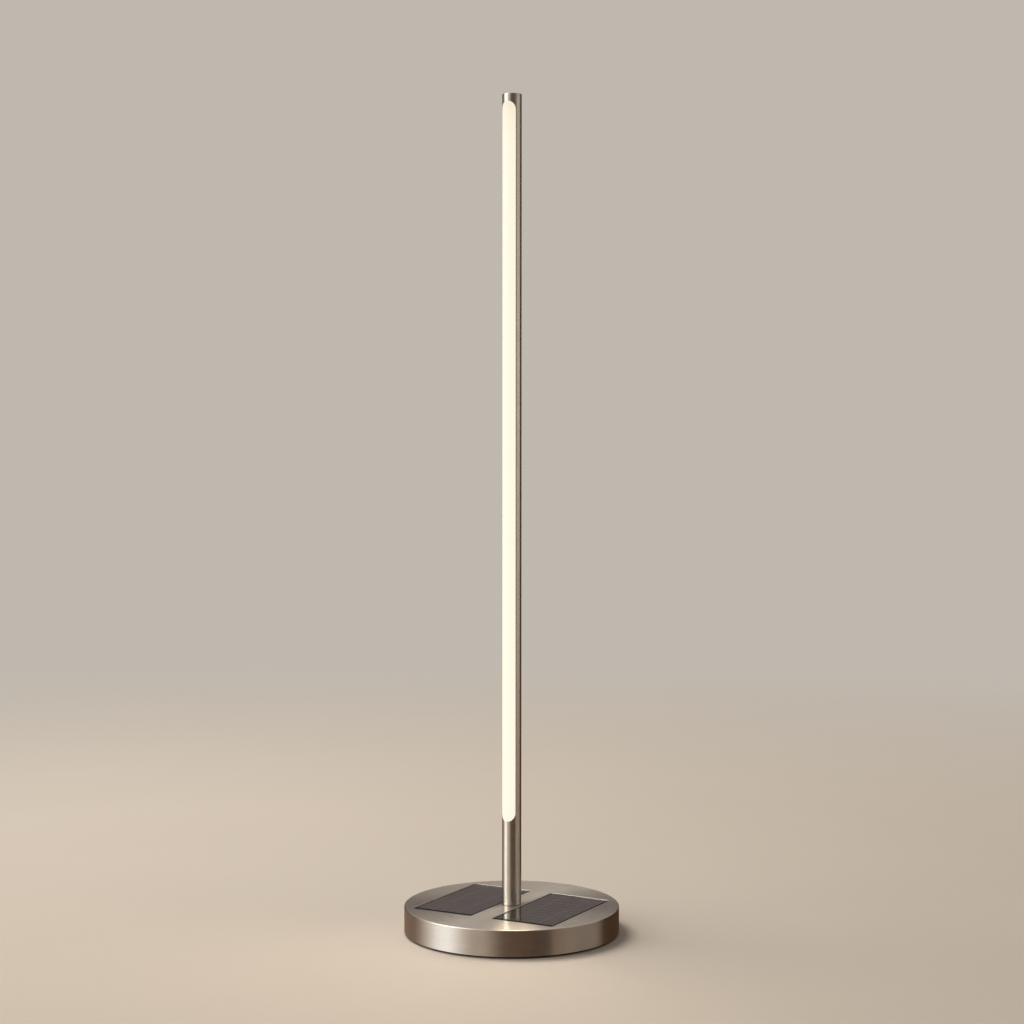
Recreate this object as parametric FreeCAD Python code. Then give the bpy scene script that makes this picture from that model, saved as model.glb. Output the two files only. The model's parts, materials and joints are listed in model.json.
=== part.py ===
import FreeCAD, Part
import math
import os

from FreeCAD import Vector

# A solar floor lamp for outdoors, in millimetres, with +Z up.
# A steel tube stands on a heavy round base. A long slot with round ends is cut through the tube's
# front, and an opal light tube shines through it. Two solar panels lie flush in the base.
# The origin is on the pole's axis, at the height of the ground. The slot faces -Y, and the long
# sides of the panels run along Y, one panel on each side of the pole.

# Driving dimensions: base
base_diameter = 300.0
base_side_height = 35.5
cover_wall = 2.0
rim_rounding = 1.5
foot_height = 3.0
foot_inset = 6.0
foot_width = 9.0
floor_thickness = 2.0
floor_clearance = 0.2

# Driving dimensions: posts and screws that hold the floor plate
post_count = 6
post_rim_distance = 20.0
post_diameter = 9.0
post_screw_diameter = 4.0
post_screw_reach = 10.0
screw_clearance = 0.2
low_head_diameter = 7.2
low_head_height = 1.8
hex_socket_width = 2.5
hex_socket_depth = 1.0

# Driving dimensions: ballast and the bridge that ties the pole to it
ballast_rim_distance = 30.0
ballast_thickness = 12.0
ballast_edge_rounding = 1.5
ballast_screw_rim_distance = 25.0
ballast_screw_angle = 30.0
ballast_screw_diameter = 5.0
ballast_screw_reach = 8.0
bridge_width = 22.0
bridge_thickness = 3.0
bridge_span = 58.0
bridge_foot_length = 14.0
bridge_screw_diameter = 5.0
bridge_screw_reach = 9.0

# Driving dimensions: hollow threaded stem
stem_diameter = 12.0
stem_bore_diameter = 7.0
stem_reach_in_plug = 15.0
stem_tail = 0.8
stem_clearance = 0.3
nut_width = 19.0
nut_height = 6.0
washer_diameter = 21.0
washer_thickness = 1.5

# Driving dimensions: pole
pole_diameter = 26.9
pole_wall = 1.0
pole_height = 1125.0
plug_height = 30.0
plug_bore_diameter = 9.0
plug_chamfer = 1.0
seal_outer_diameter = 22.0
seal_inner_diameter = 17.0
seal_thickness = 1.0
cap_thickness = 2.5
cap_rounding = 0.8
cap_spigot_height = 4.5
cap_seal_thickness = 1.5
cap_seal_bore_diameter = 15.0

# Driving dimensions: slot in the pole, heights above the top of the base
slot_bottom_height = 118.5
slot_top_height = 1114.2
slot_half_angle = 51.8

# Driving dimensions: light tube, the lens on it and what is inside it
light_tube_clearance = 0.1
light_tube_wall = 1.6
lens_clearance = 0.1
lens_inset = 0.1
carrier_clearance = 0.3
carrier_wall = 1.6
carrier_face_offset = 0.5
carrier_face_thickness = 2.0
strip_width = 12.0
strip_thickness = 1.6
strip_end_margin = 8.0
chip_length = 3.5
chip_width = 2.8
chip_height = 0.8
chip_pitch = 20.0
chip_end_margin = 12.0

# Driving dimensions: solar panels
panel_width = 90.0
panel_length = 171.5
panel_offset = 62.7
panel_corner_radius = 1.5
glass_thickness = 3.2
solar_cell_thickness = 0.4
solar_cell_count = 12
solar_cell_gap = 0.9
solar_cell_margin = 4.0
cell_board_thickness = 1.6
panel_clearance = 0.1
tray_wall = 1.4
tray_floor = 1.5
tray_flange_width = 3.5
tray_ear_length = 8.0
tray_ear_width = 10.0
tray_lip_drop = 0.8
window_edge_chamfer = 0.8
panel_stud_spacing = 50.0
panel_stud_diameter = 3.0
panel_stud_length = 7.0
panel_nut_width = 5.5
panel_nut_height = 2.4

# Driving dimensions: controller board at the front
board_width = 60.0
board_depth = 36.0
board_thickness = 1.6
board_notch_gap = 3.0
board_post_height = 4.0
board_post_diameter = 6.0
board_post_inset = 4.0
board_screw_diameter = 2.5
board_screw_head_diameter = 4.8
board_screw_head_height = 1.6
connector_width = 7.0
connector_depth = 5.0
connector_height = 6.0
front_notch_width = 74.0

# Driving dimensions: parts on the board, with their places as shares of the board from its middle
coil_diameter = 11.2
coil_height = 4.8
coil_shares = [(0.14, 0.0)]
capacitor_diameter = 7.0
capacitor_height = 9.6
capacitor_shares = [(-0.16, -0.26), (0.30, 0.26)]
board_chip_length = 7.0
board_chip_width = 5.0
board_chip_height = 1.6
board_chip_shares = [(-0.12, 0.05), (0.28, -0.28)]
middle_land = 94.0

# Driving dimensions: battery at the back
cell_diameter = 18.4
cell_length = 65.0
cell_gap = 1.2
contact_thickness = 1.0
contact_width = 9.0
holder_wall = 1.8
holder_ear_length = 8.0
holder_ear_height = 4.0
door_thickness = 1.2
door_overlap = 3.0
door_corner_radius = 4.0
door_screw_diameter = 3.0
door_screw_head_diameter = 5.6
door_screw_head_height = 1.1
pocket_clearance = 1.5

# Driving dimensions: push-button switch under the front of the base
switch_rim_distance = 42.0
switch_body_diameter = 22.0
switch_body_height = 16.0
switch_seal_thickness = 0.8
switch_seal_diameter = 20.0
bushing_diameter = 12.0
bushing_hole_clearance = 0.2
bushing_end_height = 1.4
button_diameter = 8.0
button_clearance = 0.08
button_rest_height = 0.6
button_travel = 2.0
button_dome = 0.5
button_shaft_length = 7.4
button_collar_diameter = 10.0
button_collar_height = 3.5
button_pin_diameter = 2.4
button_stop_clearance = 1.3
switch_nut_width = 17.0
switch_nut_height = 1.3
terminal_block_height = 3.0
terminal_length = 4.0
terminal_width = 2.0
terminal_thickness = 0.8
terminal_spacing = 8.0
return_spring_wire = 0.6
return_spring_diameter = 5.6
return_spring_turns = 5

# Driving dimensions: inner leads
lead_diameter = 2.0
lead_clearance = 0.2
lead_bend_radius = 5.0
bend_run_share = 0.45
lead_height_above_ballast = 2.6
lead_distance_from_bridge = 4.0

# Where the pieces follow from the driving dimensions
base_radius = base_diameter / 2
base_top = foot_height + base_side_height
ballast_radius = base_radius - ballast_rim_distance
switch_centre_y = switch_rim_distance - base_radius
cover_underside = base_top - cover_wall
floor_top = foot_height + floor_thickness
ballast_top = floor_top + ballast_thickness
pole_radius = pole_diameter / 2
pole_bore_radius = pole_radius - pole_wall
pole_top = base_top + pole_height
tube_top = pole_top - cap_thickness
plug_top = base_top + plug_height
spigot_bottom = tube_top - cap_spigot_height
light_tube_top = spigot_bottom - cap_seal_thickness
light_tube_radius = pole_bore_radius - light_tube_clearance
light_tube_bore_radius = light_tube_radius - light_tube_wall
carrier_radius = light_tube_bore_radius - carrier_clearance
strip_bottom = plug_top + strip_end_margin
strip_top = light_tube_top - strip_end_margin
strip_front = -carrier_face_offset - strip_thickness
bridge_underside = cover_underside - bridge_thickness
washer_underside = bridge_underside - washer_thickness
nut_underside = washer_underside - nut_height
stem_bottom = nut_underside - stem_tail
stem_top = base_top + stem_reach_in_plug
stem_hole_radius = stem_diameter / 2 + stem_clearance
board_centre_y = -middle_land / 2 - board_notch_gap - board_depth / 2
board_underside = floor_top + board_post_height
board_top = board_underside + board_thickness
connector_top = board_top + connector_height
lead_level = ballast_top + lead_height_above_ballast
window_width = panel_width + 2 * (panel_clearance + tray_wall)
window_length = panel_length + 2 * (panel_clearance + tray_wall)
window_corner = panel_corner_radius + panel_clearance + tray_wall
glass_underside = base_top - glass_thickness
cell_board_top = glass_underside - solar_cell_thickness
cell_board_underside = cell_board_top - cell_board_thickness
tray_underside = cell_board_underside - tray_floor
holder_inner_length = cell_length + 2 * contact_thickness
holder_inner_width = 2 * cell_diameter + 3 * cell_gap
holder_length = holder_inner_length + 2 * holder_wall
holder_width = holder_inner_width + 2 * holder_wall
holder_centre_y = middle_land / 2 + pocket_clearance + holder_width / 2
cell_axis_height = floor_top + cell_gap + cell_diameter / 2
holder_ceiling = cell_axis_height + cell_diameter / 2 + cell_gap
holder_top = holder_ceiling + holder_wall
holder_half_span = holder_length / 2 + holder_ear_length
switch_shoulder = floor_top + switch_seal_thickness
switch_ledge = button_rest_height + button_shaft_length
switch_body_top = switch_shoulder + switch_body_height
switch_cavity_top = switch_body_top - terminal_block_height
button_collar_top = switch_ledge + button_collar_height
button_pin_top = switch_cavity_top - button_travel - button_stop_clearance


def disc(radius, bottom, top, x=0, y=0):
    return Part.makeCylinder(radius, top - bottom, Vector(x, y, bottom))


def ring(outer_radius, inner_radius, bottom, top, x=0, y=0):
    return disc(outer_radius, bottom, top, x, y).cut(disc(inner_radius, bottom, top, x, y))


def block(width, depth, bottom, top, x=0, y=0):
    corner = Vector(x - width / 2, y - depth / 2, bottom)
    return Part.makeBox(width, depth, top - bottom, corner)


def rounded_block(width, depth, corner_radius, bottom, top, x=0, y=0):
    solid = block(width, depth, bottom, top, x, y)
    upright = [edge for edge in solid.Edges if abs(edge.tangentAt(edge.FirstParameter).z) > 0.5]
    return solid.makeFillet(corner_radius, upright)


def hexagon(width, bottom, top, x=0, y=0):
    corner_radius = width / math.sqrt(3)
    corners = [
        Vector(x + corner_radius * math.cos(math.radians(60 * k)),
               y + corner_radius * math.sin(math.radians(60 * k)), bottom)
        for k in range(7)
    ]
    return Part.Face(Part.makePolygon(corners)).extrude(Vector(0, 0, top - bottom))


def turned(points):
    """Revolve an outline of (radius, height) points about Z."""
    outline = [Vector(radius, 0, height) for radius, height in points]
    face = Part.Face(Part.makePolygon(outline + outline[:1]))
    return face.revolve(Vector(0, 0, 0), Vector(0, 0, 1), 360)


def cut_all(solid, tools):
    for tool in tools:
        solid = solid.cut(tool)
    return solid


def one_solid(first, others):
    return first.multiFuse(others).removeSplitter().Solids[0]


def around(count, radius):
    """Places on a circle about the pole, the first one on +X."""
    turn = 2 * math.pi / count
    return [(radius * math.cos(k * turn), radius * math.sin(k * turn)) for k in range(count)]


def four_corners(spacing_x, spacing_y, x=0, y=0):
    return [(x + i * spacing_x / 2, y + j * spacing_y / 2) for i in (-1, 1) for j in (-1, 1)]


def screw_from_below(shank_diameter, head_diameter, head_height, seat, reach, x, y):
    """A screw whose head bears upward on the height called seat."""
    head = disc(head_diameter / 2, seat - head_height, seat, x, y)
    shank = disc(shank_diameter / 2, seat, seat + reach, x, y)
    return one_solid(head, [shank])


def socketed(screw, head_bottom, x, y):
    return screw.cut(hexagon(hex_socket_width, head_bottom, head_bottom + hex_socket_depth, x, y))


def bar(start, end, diameter):
    return Part.makeCylinder(diameter / 2, (end - start).Length, start, end - start)


def bend(start, way_in, way_out, radius, diameter):
    """A round bar bent from one way to another, from the point start on."""
    turn_axis = way_in.cross(way_out).normalize()
    centre = start + turn_axis.cross(way_in) * radius
    section = Part.Face(Part.Wire(Part.makeCircle(diameter / 2, start, way_in)))
    return section.revolve(centre, turn_axis, math.degrees(way_in.getAngle(way_out)))


def lead(points):
    """A round lead along straight runs, with a bend at each turn where its runs have the room."""
    pieces = []
    start = points[0]
    for before, corner, after in zip(points, points[1:], points[2:]):
        way_in = (corner - before).normalize()
        way_out = (after - corner).normalize()
        half_turn = way_in.getAngle(way_out) / 2
        shorter_run = min((corner - before).Length, (after - corner).Length)
        radius = min(lead_bend_radius, bend_run_share * shorter_run / math.tan(half_turn))
        setback = radius * math.tan(half_turn)
        bend_start = corner - way_in * setback
        pieces.append(bar(start, bend_start, lead_diameter))
        pieces.append(bend(bend_start, way_in, way_out, radius, lead_diameter))
        start = corner + way_out * setback
    pieces.append(bar(start, points[-1], lead_diameter))
    return one_solid(pieces[0], pieces[1:])


# Base

def make_base_cover():
    side_inside = base_radius - cover_wall
    shell = turned([
        (stem_hole_radius, base_top),
        (base_radius, base_top),
        (base_radius, foot_height),
        (side_inside, foot_height),
        (side_inside, cover_underside),
        (stem_hole_radius, cover_underside),
    ])
    rim = [
        edge for edge in shell.Edges
        if abs(edge.BoundBox.ZMin - base_top) < panel_clearance
        and edge.BoundBox.XMax > side_inside
        and edge.BoundBox.ZLength < panel_clearance
    ]
    shell = shell.makeFillet(rim_rounding, rim)
    windows = [
        rounded_block(window_width, window_length, window_corner, cover_underside, base_top, x)
        for x in (-panel_offset, panel_offset)
    ]
    studs = [
        disc(panel_stud_diameter / 2, cover_underside - panel_stud_length, cover_underside, x, y)
        for side in (-1, 1)
        for x, y in stud_places(side)
    ]
    shell = cut_all(shell, windows)
    window_edges = [
        edge for edge in shell.Edges
        if abs(edge.BoundBox.ZMin - base_top) < panel_clearance
        and abs(edge.BoundBox.Center.x) > stem_hole_radius
    ]
    shell = shell.makeChamfer(window_edge_chamfer, window_edges)
    return one_solid(shell, studs)


def post_places():
    return around(post_count, base_radius - post_rim_distance)


def make_cover_posts():
    bore = (post_screw_diameter + screw_clearance) / 2
    bore_top = foot_height + post_screw_reach + screw_clearance
    return [
        disc(post_diameter / 2, floor_top, cover_underside, x, y).cut(disc(bore, floor_top, bore_top, x, y))
        for x, y in post_places()
    ]


def make_floor_screws():
    return [
        socketed(
            screw_from_below(post_screw_diameter, low_head_diameter, low_head_height,
                             foot_height, post_screw_reach, x, y),
            foot_height - low_head_height, x, y)
        for x, y in post_places()
    ]


def ballast_screw_places():
    radius = ballast_radius - ballast_screw_rim_distance
    angle = math.radians(ballast_screw_angle)
    return four_corners(2 * radius * math.cos(angle), 2 * radius * math.sin(angle))


def make_ballast_screws():
    reach = floor_thickness + ballast_screw_reach
    return [
        socketed(
            screw_from_below(ballast_screw_diameter, low_head_diameter + 2 * screw_clearance,
                             low_head_height, foot_height, reach, x, y),
            foot_height - low_head_height, x, y)
        for x, y in ballast_screw_places()
    ]


def make_floor_plate():
    plate = disc(base_radius - cover_wall - floor_clearance, foot_height, floor_top)
    post_hole = (post_screw_diameter + screw_clearance) / 2
    ballast_hole = (ballast_screw_diameter + screw_clearance) / 2
    door_hole = (door_screw_diameter + screw_clearance) / 2
    board_hole = (board_screw_diameter + screw_clearance) / 2
    holes = [disc(post_hole, foot_height, floor_top, x, y) for x, y in post_places()]
    holes += [disc(ballast_hole, foot_height, floor_top, x, y) for x, y in ballast_screw_places()]
    holes += [disc(door_hole, foot_height, floor_top, x, y) for x, y in door_screw_places()]
    holes += [disc(board_hole, foot_height, floor_top, x, y) for x, y in board_post_places()]
    holes.append(disc(bushing_diameter / 2 + bushing_hole_clearance, foot_height, floor_top,
                      0, switch_centre_y))
    holes.append(block(holder_inner_length, holder_inner_width, foot_height, floor_top,
                       0, holder_centre_y))
    return cut_all(plate, holes)


def make_foot_ring():
    outer = base_radius - foot_inset
    return ring(outer, outer - foot_width, 0, foot_height)


def make_ballast():
    plate = disc(ballast_radius, floor_top, ballast_top)
    top_rim = [edge for edge in plate.Edges if edge.BoundBox.ZMin > floor_top]
    plate = plate.makeChamfer(ballast_edge_rounding, top_rim)
    notch_length = ballast_radius
    notch = block(front_notch_width, notch_length, floor_top, ballast_top,
                  0, -middle_land / 2 - notch_length / 2)
    pocket = block(2 * (holder_half_span + pocket_clearance), holder_width + 2 * pocket_clearance,
                   floor_top, ballast_top, 0, holder_centre_y)
    tapped = (ballast_screw_diameter + screw_clearance) / 2
    tapped_top = floor_top + ballast_screw_reach + screw_clearance
    cuts = [notch, pocket]
    cuts += [disc(tapped, floor_top, tapped_top, x, y) for x, y in ballast_screw_places()]
    bridge_tapped = (bridge_screw_diameter + screw_clearance) / 2
    bridge_tapped_bottom = ballast_top - bridge_screw_reach
    cuts += [disc(bridge_tapped, bridge_tapped_bottom, ballast_top, 0, y) for y in bridge_screw_places()]
    return cut_all(plate, cuts)


def bridge_screw_places():
    middle_of_foot = bridge_span / 2 + bridge_foot_length / 2
    return (-middle_of_foot, middle_of_foot)


def make_stem_bridge():
    """A folded strap: a flat top under the cover, two legs and two feet on the ballast."""
    half_span = bridge_span / 2
    foot_end = half_span + bridge_foot_length
    foot_top = ballast_top + bridge_thickness
    outline = [
        (-foot_end, ballast_top), (-half_span + bridge_thickness, ballast_top),
        (-half_span + bridge_thickness, bridge_underside), (half_span - bridge_thickness, bridge_underside),
        (half_span - bridge_thickness, ballast_top), (foot_end, ballast_top),
        (foot_end, foot_top), (half_span, foot_top),
        (half_span, cover_underside), (-half_span, cover_underside),
        (-half_span, foot_top), (-foot_end, foot_top),
    ]
    points = [Vector(-bridge_width / 2, y, z) for y, z in outline]
    strap = Part.Face(Part.makePolygon(points + points[:1])).extrude(Vector(bridge_width, 0, 0))
    folds = [
        edge for edge in strap.Edges
        if abs(edge.tangentAt(edge.FirstParameter).x) > 0.5
        and abs(abs(edge.CenterOfMass.y) - half_span) < panel_clearance
        and abs(edge.CenterOfMass.z - cover_underside) < panel_clearance
    ]
    strap = strap.makeFillet(bridge_thickness, folds)
    screw_hole = (bridge_screw_diameter + screw_clearance) / 2
    cuts = [disc(stem_hole_radius, bridge_underside, cover_underside)]
    cuts += [disc(screw_hole, ballast_top, foot_top, 0, y) for y in bridge_screw_places()]
    return cut_all(strap, cuts)


def make_bridge_screws():
    foot_top = ballast_top + bridge_thickness
    head_top = foot_top + bridge_screw_diameter
    screws = []
    for y in bridge_screw_places():
        head = disc(low_head_diameter / 2 + screw_clearance, foot_top, head_top, 0, y)
        shank_bottom = ballast_top - bridge_screw_reach + screw_clearance
        shank = disc(bridge_screw_diameter / 2, shank_bottom, foot_top, 0, y)
        socket = hexagon(hex_socket_width, head_top - hex_socket_width, head_top, 0, y)
        screws.append(one_solid(head, [shank]).cut(socket))
    return screws


def make_stem():
    return ring(stem_diameter / 2, stem_bore_diameter / 2, stem_bottom, stem_top)


def make_stem_washer():
    return ring(washer_diameter / 2, stem_hole_radius, washer_underside, bridge_underside)


def make_stem_nut():
    return hexagon(nut_width, nut_underside, washer_underside).cut(
        disc(stem_diameter / 2, nut_underside, washer_underside))


# Pole

def make_pole_plug():
    """A turned plug with a threaded bore for the stem, a bore for the lead and a seal groove."""
    plug = turned([
        (plug_bore_diameter / 2, plug_top),
        (pole_bore_radius - plug_chamfer, plug_top),
        (pole_bore_radius, plug_top - plug_chamfer),
        (pole_bore_radius, base_top),
        (seal_outer_diameter / 2, base_top),
        (seal_outer_diameter / 2, base_top + seal_thickness),
        (seal_inner_diameter / 2, base_top + seal_thickness),
        (seal_inner_diameter / 2, base_top),
        (stem_diameter / 2, base_top),
        (stem_diameter / 2, stem_top + screw_clearance),
        (plug_bore_diameter / 2, stem_top + screw_clearance),
    ])
    return plug


def make_pole_seal():
    return ring(seal_outer_diameter / 2, seal_inner_diameter / 2, base_top, base_top + seal_thickness)


def flat_point(turn, height):
    return FreeCAD.Base.Vector2d(turn, height)


def wrapped_slot(radius, thickness, bottom, top, half_angle):
    """A plate with the slot's outline, wrapped on a cylinder and square to its surface, on the -Y side.

    The outline is drawn on the unrolled surface, where one way is the angle in radians and the
    other is the height, so its round ends are half ellipses there and half circles on the tube.
    """
    tube_surface = Part.Cylinder()
    tube_surface.Radius = radius
    end_radius = pole_radius * half_angle
    front = 1.5 * math.pi
    left, right = front - half_angle, front + half_angle
    low, high = bottom + end_radius, top - end_radius
    flat = Part.Geom2d
    top_ellipse = flat.Ellipse2d(flat_point(front, top), flat_point(right, high), flat_point(front, high))
    bottom_ellipse = flat.Ellipse2d(flat_point(front, low + end_radius), flat_point(right, low),
                                    flat_point(front, low))
    outline = [
        flat.ArcOfEllipse2d(top_ellipse, -math.pi / 2, math.pi / 2),
        flat.Line2dSegment(flat_point(left, low), flat_point(left, high)),
        flat.ArcOfEllipse2d(bottom_ellipse, math.pi / 2, 1.5 * math.pi),
        flat.Line2dSegment(flat_point(right, low), flat_point(right, high)),
    ]
    edges = [curve.toShape(tube_surface) for curve in outline]
    patch = Part.Face(tube_surface, Part.Wire(Part.__sortEdges__(edges)))
    patch.validate()
    return patch.makeOffsetShape(thickness, thickness / 100, fill=True)


def make_pole_tube():
    tube = ring(pole_radius, pole_bore_radius, base_top, tube_top)
    overrun = light_tube_clearance / 2
    slot = wrapped_slot(pole_bore_radius - overrun, pole_wall + 2 * overrun,
                        base_top + slot_bottom_height, base_top + slot_top_height,
                        math.radians(slot_half_angle))
    return tube.cut(slot).Solids[0]


def make_top_cap():
    cap = disc(pole_radius, tube_top, pole_top)
    top_rim = [edge for edge in cap.Edges if edge.BoundBox.ZMin > tube_top]
    cap = cap.makeFillet(cap_rounding, top_rim)
    spigot = disc(pole_bore_radius, spigot_bottom, tube_top)
    return one_solid(cap, [spigot])


def make_cap_seal():
    return ring(light_tube_radius, cap_seal_bore_diameter / 2, light_tube_top, spigot_bottom)


# Light

def make_light_tube():
    return ring(light_tube_radius, light_tube_bore_radius, plug_top, light_tube_top)


def make_slot_lens():
    """The opal lens that fills the slot, on the light tube and nearly flush with the pole."""
    bottom = base_top + slot_bottom_height + lens_clearance
    top = base_top + slot_top_height - lens_clearance
    thickness = pole_radius - lens_inset - light_tube_radius
    half_angle = math.radians(slot_half_angle) - lens_clearance / pole_radius
    return wrapped_slot(light_tube_radius, thickness, bottom, top, half_angle)


def half_round(radius, face_y, bottom, top):
    """The part of a round bar that lies behind the plane y = face_y."""
    bar = disc(radius, bottom, top)
    front = block(2 * pole_radius, 2 * pole_radius, bottom, top, 0, face_y - pole_radius)
    return bar.cut(front)


def make_led_carrier():
    """An extruded profile: a flat face for the light strip and a half-round back with two fins."""
    face_y = -carrier_face_offset
    outer = half_round(carrier_radius, face_y, plug_top, light_tube_top)
    inner = half_round(carrier_radius - carrier_wall, face_y + carrier_face_thickness,
                       plug_top, light_tube_top)
    fin_depth = carrier_radius - carrier_wall / 2
    fins = [
        block(carrier_wall, fin_depth, plug_top, light_tube_top, x, fin_depth / 2)
        for x in (-strip_width / 4, strip_width / 4)
    ]
    trimmed = [fin.common(half_round(carrier_radius - carrier_wall / 2, face_y, plug_top, light_tube_top))
               for fin in fins]
    return one_solid(outer.cut(inner), trimmed)


def make_led_strip():
    return block(strip_width, strip_thickness, strip_bottom, strip_top,
                 0, strip_front + strip_thickness / 2)


def make_led_chips():
    lit_length = strip_top - strip_bottom - 2 * chip_end_margin
    count = int(lit_length / chip_pitch) + 1
    first = (strip_bottom + strip_top - (count - 1) * chip_pitch) / 2
    chips = []
    for k in range(count):
        middle = first + k * chip_pitch
        chips.append(block(chip_width, chip_height, middle - chip_length / 2, middle + chip_length / 2,
                           0, strip_front - chip_height / 2))
    return chips


# Solar panels, side is -1 for the left one and 1 for the right one

def stud_places(side):
    ear_y = window_length / 2 + tray_ear_length / 2
    return four_corners(panel_stud_spacing, 2 * ear_y, side * panel_offset)


def make_panel_glass(side):
    return rounded_block(panel_width, panel_length, panel_corner_radius, glass_underside, base_top,
                         side * panel_offset)


def make_solar_cells(side):
    """Thin cells in one row along the panel, laid between the board and the glass."""
    row_length = panel_length - 2 * solar_cell_margin
    pitch = (row_length + solar_cell_gap) / solar_cell_count
    first_y = -(solar_cell_count - 1) * pitch / 2
    return [
        block(panel_width - 2 * solar_cell_margin, pitch - solar_cell_gap, cell_board_top, glass_underside,
              side * panel_offset, first_y + k * pitch)
        for k in range(solar_cell_count)
    ]


def make_cell_board(side):
    return rounded_block(panel_width, panel_length, panel_corner_radius,
                         cell_board_underside, cell_board_top, side * panel_offset)


def make_panel_tray(side):
    """A shallow tray round the panel, with a flange and ears that bear on the cover's underside."""
    x = side * panel_offset
    rim = rounded_block(window_width, window_length, window_corner, tray_underside,
                        base_top - tray_lip_drop, x)
    flange_bottom = cover_underside - tray_floor
    flange = rounded_block(window_width + 2 * tray_flange_width, window_length + 2 * tray_flange_width,
                           window_corner, flange_bottom, cover_underside, x)
    ears = [
        block(tray_ear_width, tray_ear_length, flange_bottom, cover_underside, ear_x, ear_y)
        for ear_x, ear_y in stud_places(side)
    ]
    pocket = rounded_block(panel_width + 2 * panel_clearance, panel_length + 2 * panel_clearance,
                           panel_corner_radius + panel_clearance, cell_board_underside, base_top, x)
    stud_hole = panel_stud_diameter / 2 + screw_clearance
    cuts = [pocket]
    cuts += [disc(stud_hole, flange_bottom, cover_underside, ear_x, ear_y)
             for ear_x, ear_y in stud_places(side)]
    lead_x, lead_y = panel_lead_place(side)
    cuts.append(disc(lead_diameter / 2 + lead_clearance, tray_underside, cell_board_underside,
                     lead_x, lead_y))
    return cut_all(one_solid(rim, [flange] + ears), cuts)


def make_panel_nuts():
    nut_top = cover_underside - tray_floor
    nut_bottom = nut_top - panel_nut_height
    places = stud_places(-1) + stud_places(1)
    return [
        hexagon(panel_nut_width, nut_bottom, nut_top, x, y).cut(
            disc(panel_stud_diameter / 2, nut_bottom, nut_top, x, y))
        for x, y in places
    ]


# Controller

def board_post_places():
    return four_corners(board_width - 2 * board_post_inset, board_depth - 2 * board_post_inset,
                        0, board_centre_y)


def make_board_posts():
    bore = (board_screw_diameter + screw_clearance) / 2
    return [
        ring(board_post_diameter / 2, bore, floor_top, board_underside, x, y)
        for x, y in board_post_places()
    ]


def make_controller_board():
    board = block(board_width, board_depth, board_underside, board_top, 0, board_centre_y)
    bore = (board_screw_diameter + screw_clearance) / 2
    return cut_all(board, [disc(bore, board_underside, board_top, x, y) for x, y in board_post_places()])


def make_board_screws():
    screws = []
    for x, y in board_post_places():
        head = disc(board_screw_head_diameter / 2, board_top, board_top + board_screw_head_height, x, y)
        shank = disc(board_screw_diameter / 2, foot_height, board_top, x, y)
        slot = block(board_screw_head_diameter, board_screw_head_height / 2,
                     board_top + board_screw_head_height / 2, board_top + board_screw_head_height, x, y)
        screws.append(one_solid(head, [shank]).cut(slot))
    return screws


def connector_places():
    """Where each lead meets the board, from the board's own size."""
    back = board_centre_y + board_depth / 2 - connector_depth
    front = board_centre_y - board_depth / 2 + connector_depth
    side = board_width / 2 - connector_width
    return {
        "light": (board_width / 6, back),
        "battery": (-board_width / 4, back),
        "left_panel": (-side, board_centre_y),
        "right_panel": (side, board_centre_y),
        "switch": (0, front),
    }


def make_board_connectors():
    return [
        block(connector_width, connector_depth, board_top, connector_top, x, y)
        for x, y in connector_places().values()
    ]


def board_places(shares):
    """Places on the board, from shares of its width and depth."""
    return [(share_x * board_width, board_centre_y + share_y * board_depth) for share_x, share_y in shares]


def make_board_parts():
    """A coil, two capacitors and two chips."""
    coils = [
        disc(coil_diameter / 2, board_top, board_top + coil_height, x, y)
        for x, y in board_places(coil_shares)
    ]
    capacitors = [
        disc(capacitor_diameter / 2, board_top, board_top + capacitor_height, x, y)
        for x, y in board_places(capacitor_shares)
    ]
    chips = [
        block(board_chip_length, board_chip_width, board_top, board_top + board_chip_height, x, y)
        for x, y in board_places(board_chip_shares)
    ]
    return coils + capacitors + chips


# Battery

def battery_axis_places():
    step = cell_diameter + cell_gap
    return (holder_centre_y - step / 2, holder_centre_y + step / 2)


def make_battery_cells():
    return [
        Part.makeCylinder(cell_diameter / 2, cell_length,
                          Vector(-cell_length / 2, y, cell_axis_height), Vector(1, 0, 0))
        for y in battery_axis_places()
    ]


def make_battery_contacts():
    middle_x = (cell_length + contact_thickness) / 2
    bottom = cell_axis_height - contact_width / 2
    return [
        block(contact_thickness, contact_width, bottom, bottom + contact_width, x, y)
        for x in (-middle_x, middle_x)
        for y in battery_axis_places()
    ]


def door_screw_places():
    x = (holder_length + holder_ear_length) / 2
    return [(-x, holder_centre_y), (x, holder_centre_y)]


def make_battery_holder():
    """A box that is open below, over the opening in the floor plate, with an ear at each end."""
    box = block(holder_length, holder_width, floor_top, holder_top, 0, holder_centre_y)
    ears = block(2 * holder_half_span, holder_width, floor_top, floor_top + holder_ear_height,
                 0, holder_centre_y)
    cavity = block(holder_inner_length, holder_inner_width, floor_top, holder_ceiling,
                   0, holder_centre_y)
    step = cell_diameter + cell_gap
    rib = block(holder_inner_length / 3, cell_gap / 2, cell_axis_height + cell_gap, holder_ceiling,
                0, holder_centre_y)
    screw_hole = (door_screw_diameter + screw_clearance) / 2
    cuts = [cavity]
    cuts += [disc(screw_hole, floor_top, floor_top + holder_ear_height, x, y)
             for x, y in door_screw_places()]
    return one_solid(cut_all(one_solid(box, [ears]), cuts), [rib])


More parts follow.
